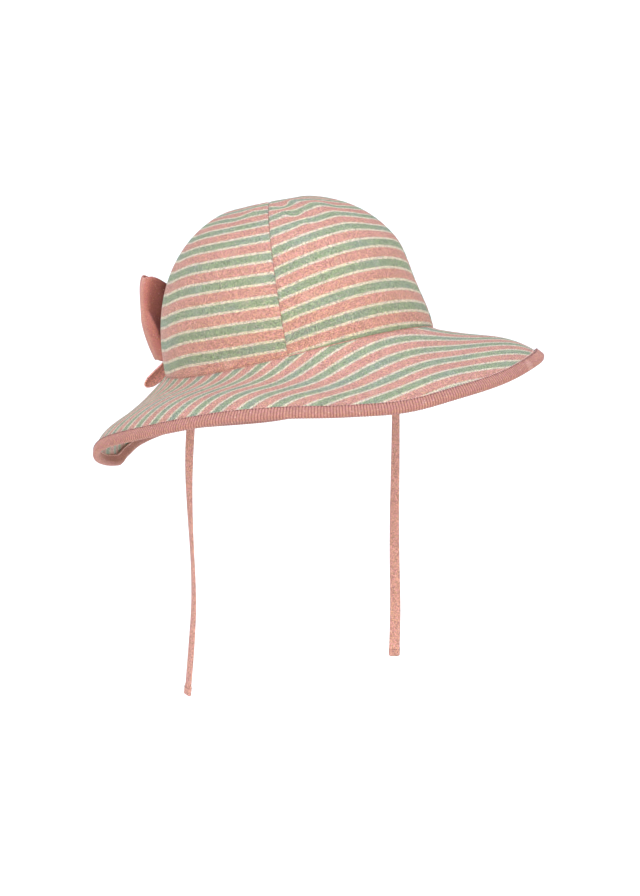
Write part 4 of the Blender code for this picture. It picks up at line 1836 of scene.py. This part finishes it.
@dataclass
class Studio:
    """The pale floor, the soft lights and the camera at the photograph's angle."""

    azimuth: float = -39.0
    elevation: float = 14.0
    distance: float = 1.80
    focal_pixels: float = 3114.0
    image_height: float = 896.0
    sensor: float = 36.0
    aim_right: float = 0.0121
    aim_down: float = 0.0566
    far_end: float = 50.0
    floor_drop: float = 1.3
    floor_reach: float = 40.0
    sky: float = 0.54
    warm: Colour = (1.0, 0.94, 0.66, 1.0)
    soft: Colour = (1.0, 0.96, 0.84, 1.0)
    cool: Colour = (0.54, 0.70, 1.0, 1.0)
    white: Colour = (1.0, 1.0, 1.0, 1.0)

    def directions(self) -> tuple[Vector, Vector, Vector]:
        """The directions of the photograph's view.

        Returns:
            Towards the camera, to the picture's right and up in it.
        """
        a, e = math.radians(self.azimuth), math.radians(self.elevation)
        back = Vector((math.sin(a) * math.cos(e), -math.cos(a) * math.cos(e), math.sin(e)))
        right = Vector((math.cos(a), math.sin(a), 0.0))
        return back, right, back.cross(right)

    def camera(self) -> None:
        """Place the camera where the photograph was taken from."""
        back, right, up = self.directions()
        data = bpy.data.cameras.new("photo_camera")
        data.sensor_width = self.sensor
        data.lens = self.focal_pixels * self.sensor / self.image_height
        data.clip_end = self.far_end
        camera = linked("photo_camera", data)
        camera.location = back * self.distance
        target = right * self.aim_right - up * self.aim_down
        camera.rotation_mode = "QUATERNION"
        camera.rotation_quaternion = (target - camera.location).to_track_quat("-Z", "Y")
        bpy.context.scene.camera = camera

    def lamp(self, name: str, towards: Vector, strength: float, spread: float, colour: Colour) -> None:
        """Add one broad, far light.

        Args:
            name: the light's name.
            towards: the direction of the light from the hat.
            strength: its irradiance.
            spread: its width in degrees, which softens its shadows.
            colour: its colour.
        """
        data = bpy.data.lights.new(name, "SUN")
        data.energy = strength
        data.angle = math.radians(spread)
        data.color = colour[:3]
        lamp = linked(name, data)
        lamp.location = towards
        lamp.rotation_mode = "QUATERNION"
        lamp.rotation_quaternion = (-towards).to_track_quat("-Z", "Y")

    def lights(self) -> None:
        """Light the hat from the camera's two sides, from the camera and from above."""
        back, right, _ = self.directions()
        above = Vector((0.0, 0.0, 1.0))
        self.lamp("key_light", back * 1.6 + right * 1.1 + above * 0.9, 0.96, 50.0, self.warm)
        self.lamp("fill_light", back * 1.6 - above * 0.3, 0.75, 40.0, self.soft)
        self.lamp("top_light", above * 2.0 + back * 0.3, 2.8, 70.0, self.cool)
        self.lamp("side_light", back * 1.5 - right + above * 0.5, 0.95, 50.0, self.soft)

    def room(self) -> None:
        """Put the hat in a white room, which lights it less brightly than it looks."""
        world = bpy.data.worlds.new("white_room")
        world.use_nodes = True
        kit = NodeKit(world.node_tree)
        seen = kit.field("ShaderNodeLightPath", output="Is Camera Ray")
        strength = seen * (1.0 - self.sky) + self.sky
        kit.dress(world.node_tree.nodes["Background"], {"Color": self.white, "Strength": strength})
        bpy.context.scene.world = world

    def floor(self) -> None:
        """Lay the pale floor well below the hat."""
        mesh = bpy.data.meshes.new("studio_floor")
        form = bmesh.new()
        bmesh.ops.create_grid(form, x_segments=4, y_segments=4, size=self.floor_reach)
        for point in form.verts:
            point.co.z = -self.floor_drop
        form.to_mesh(mesh)
        form.free()
        mesh.materials.append(StudioPaper().material())
        linked("studio_floor", mesh)

    def build(self) -> None:
        """Set the whole stage."""
        bpy.context.scene.view_settings.view_transform = "Standard"
        self.camera()
        self.lights()
        self.room()
        self.floor()


def main() -> None:
    """Build the stage, then the hat from its ties to its bow."""
    logging.basicConfig(level=logging.INFO, format="%(name)s %(message)s")
    form, finishes, sewing = HatForm(), Finishes(), Sewing()
    Studio().build()
    for side in Side:
        Tie(form, finishes, side).build(sewing)
    Crown(form, finishes).build(sewing)
    Brim(form, finishes).build()
    Binding(form, finishes).build(sewing)
    Bow(form, finishes).build()


if __name__ == "__main__":
    main()
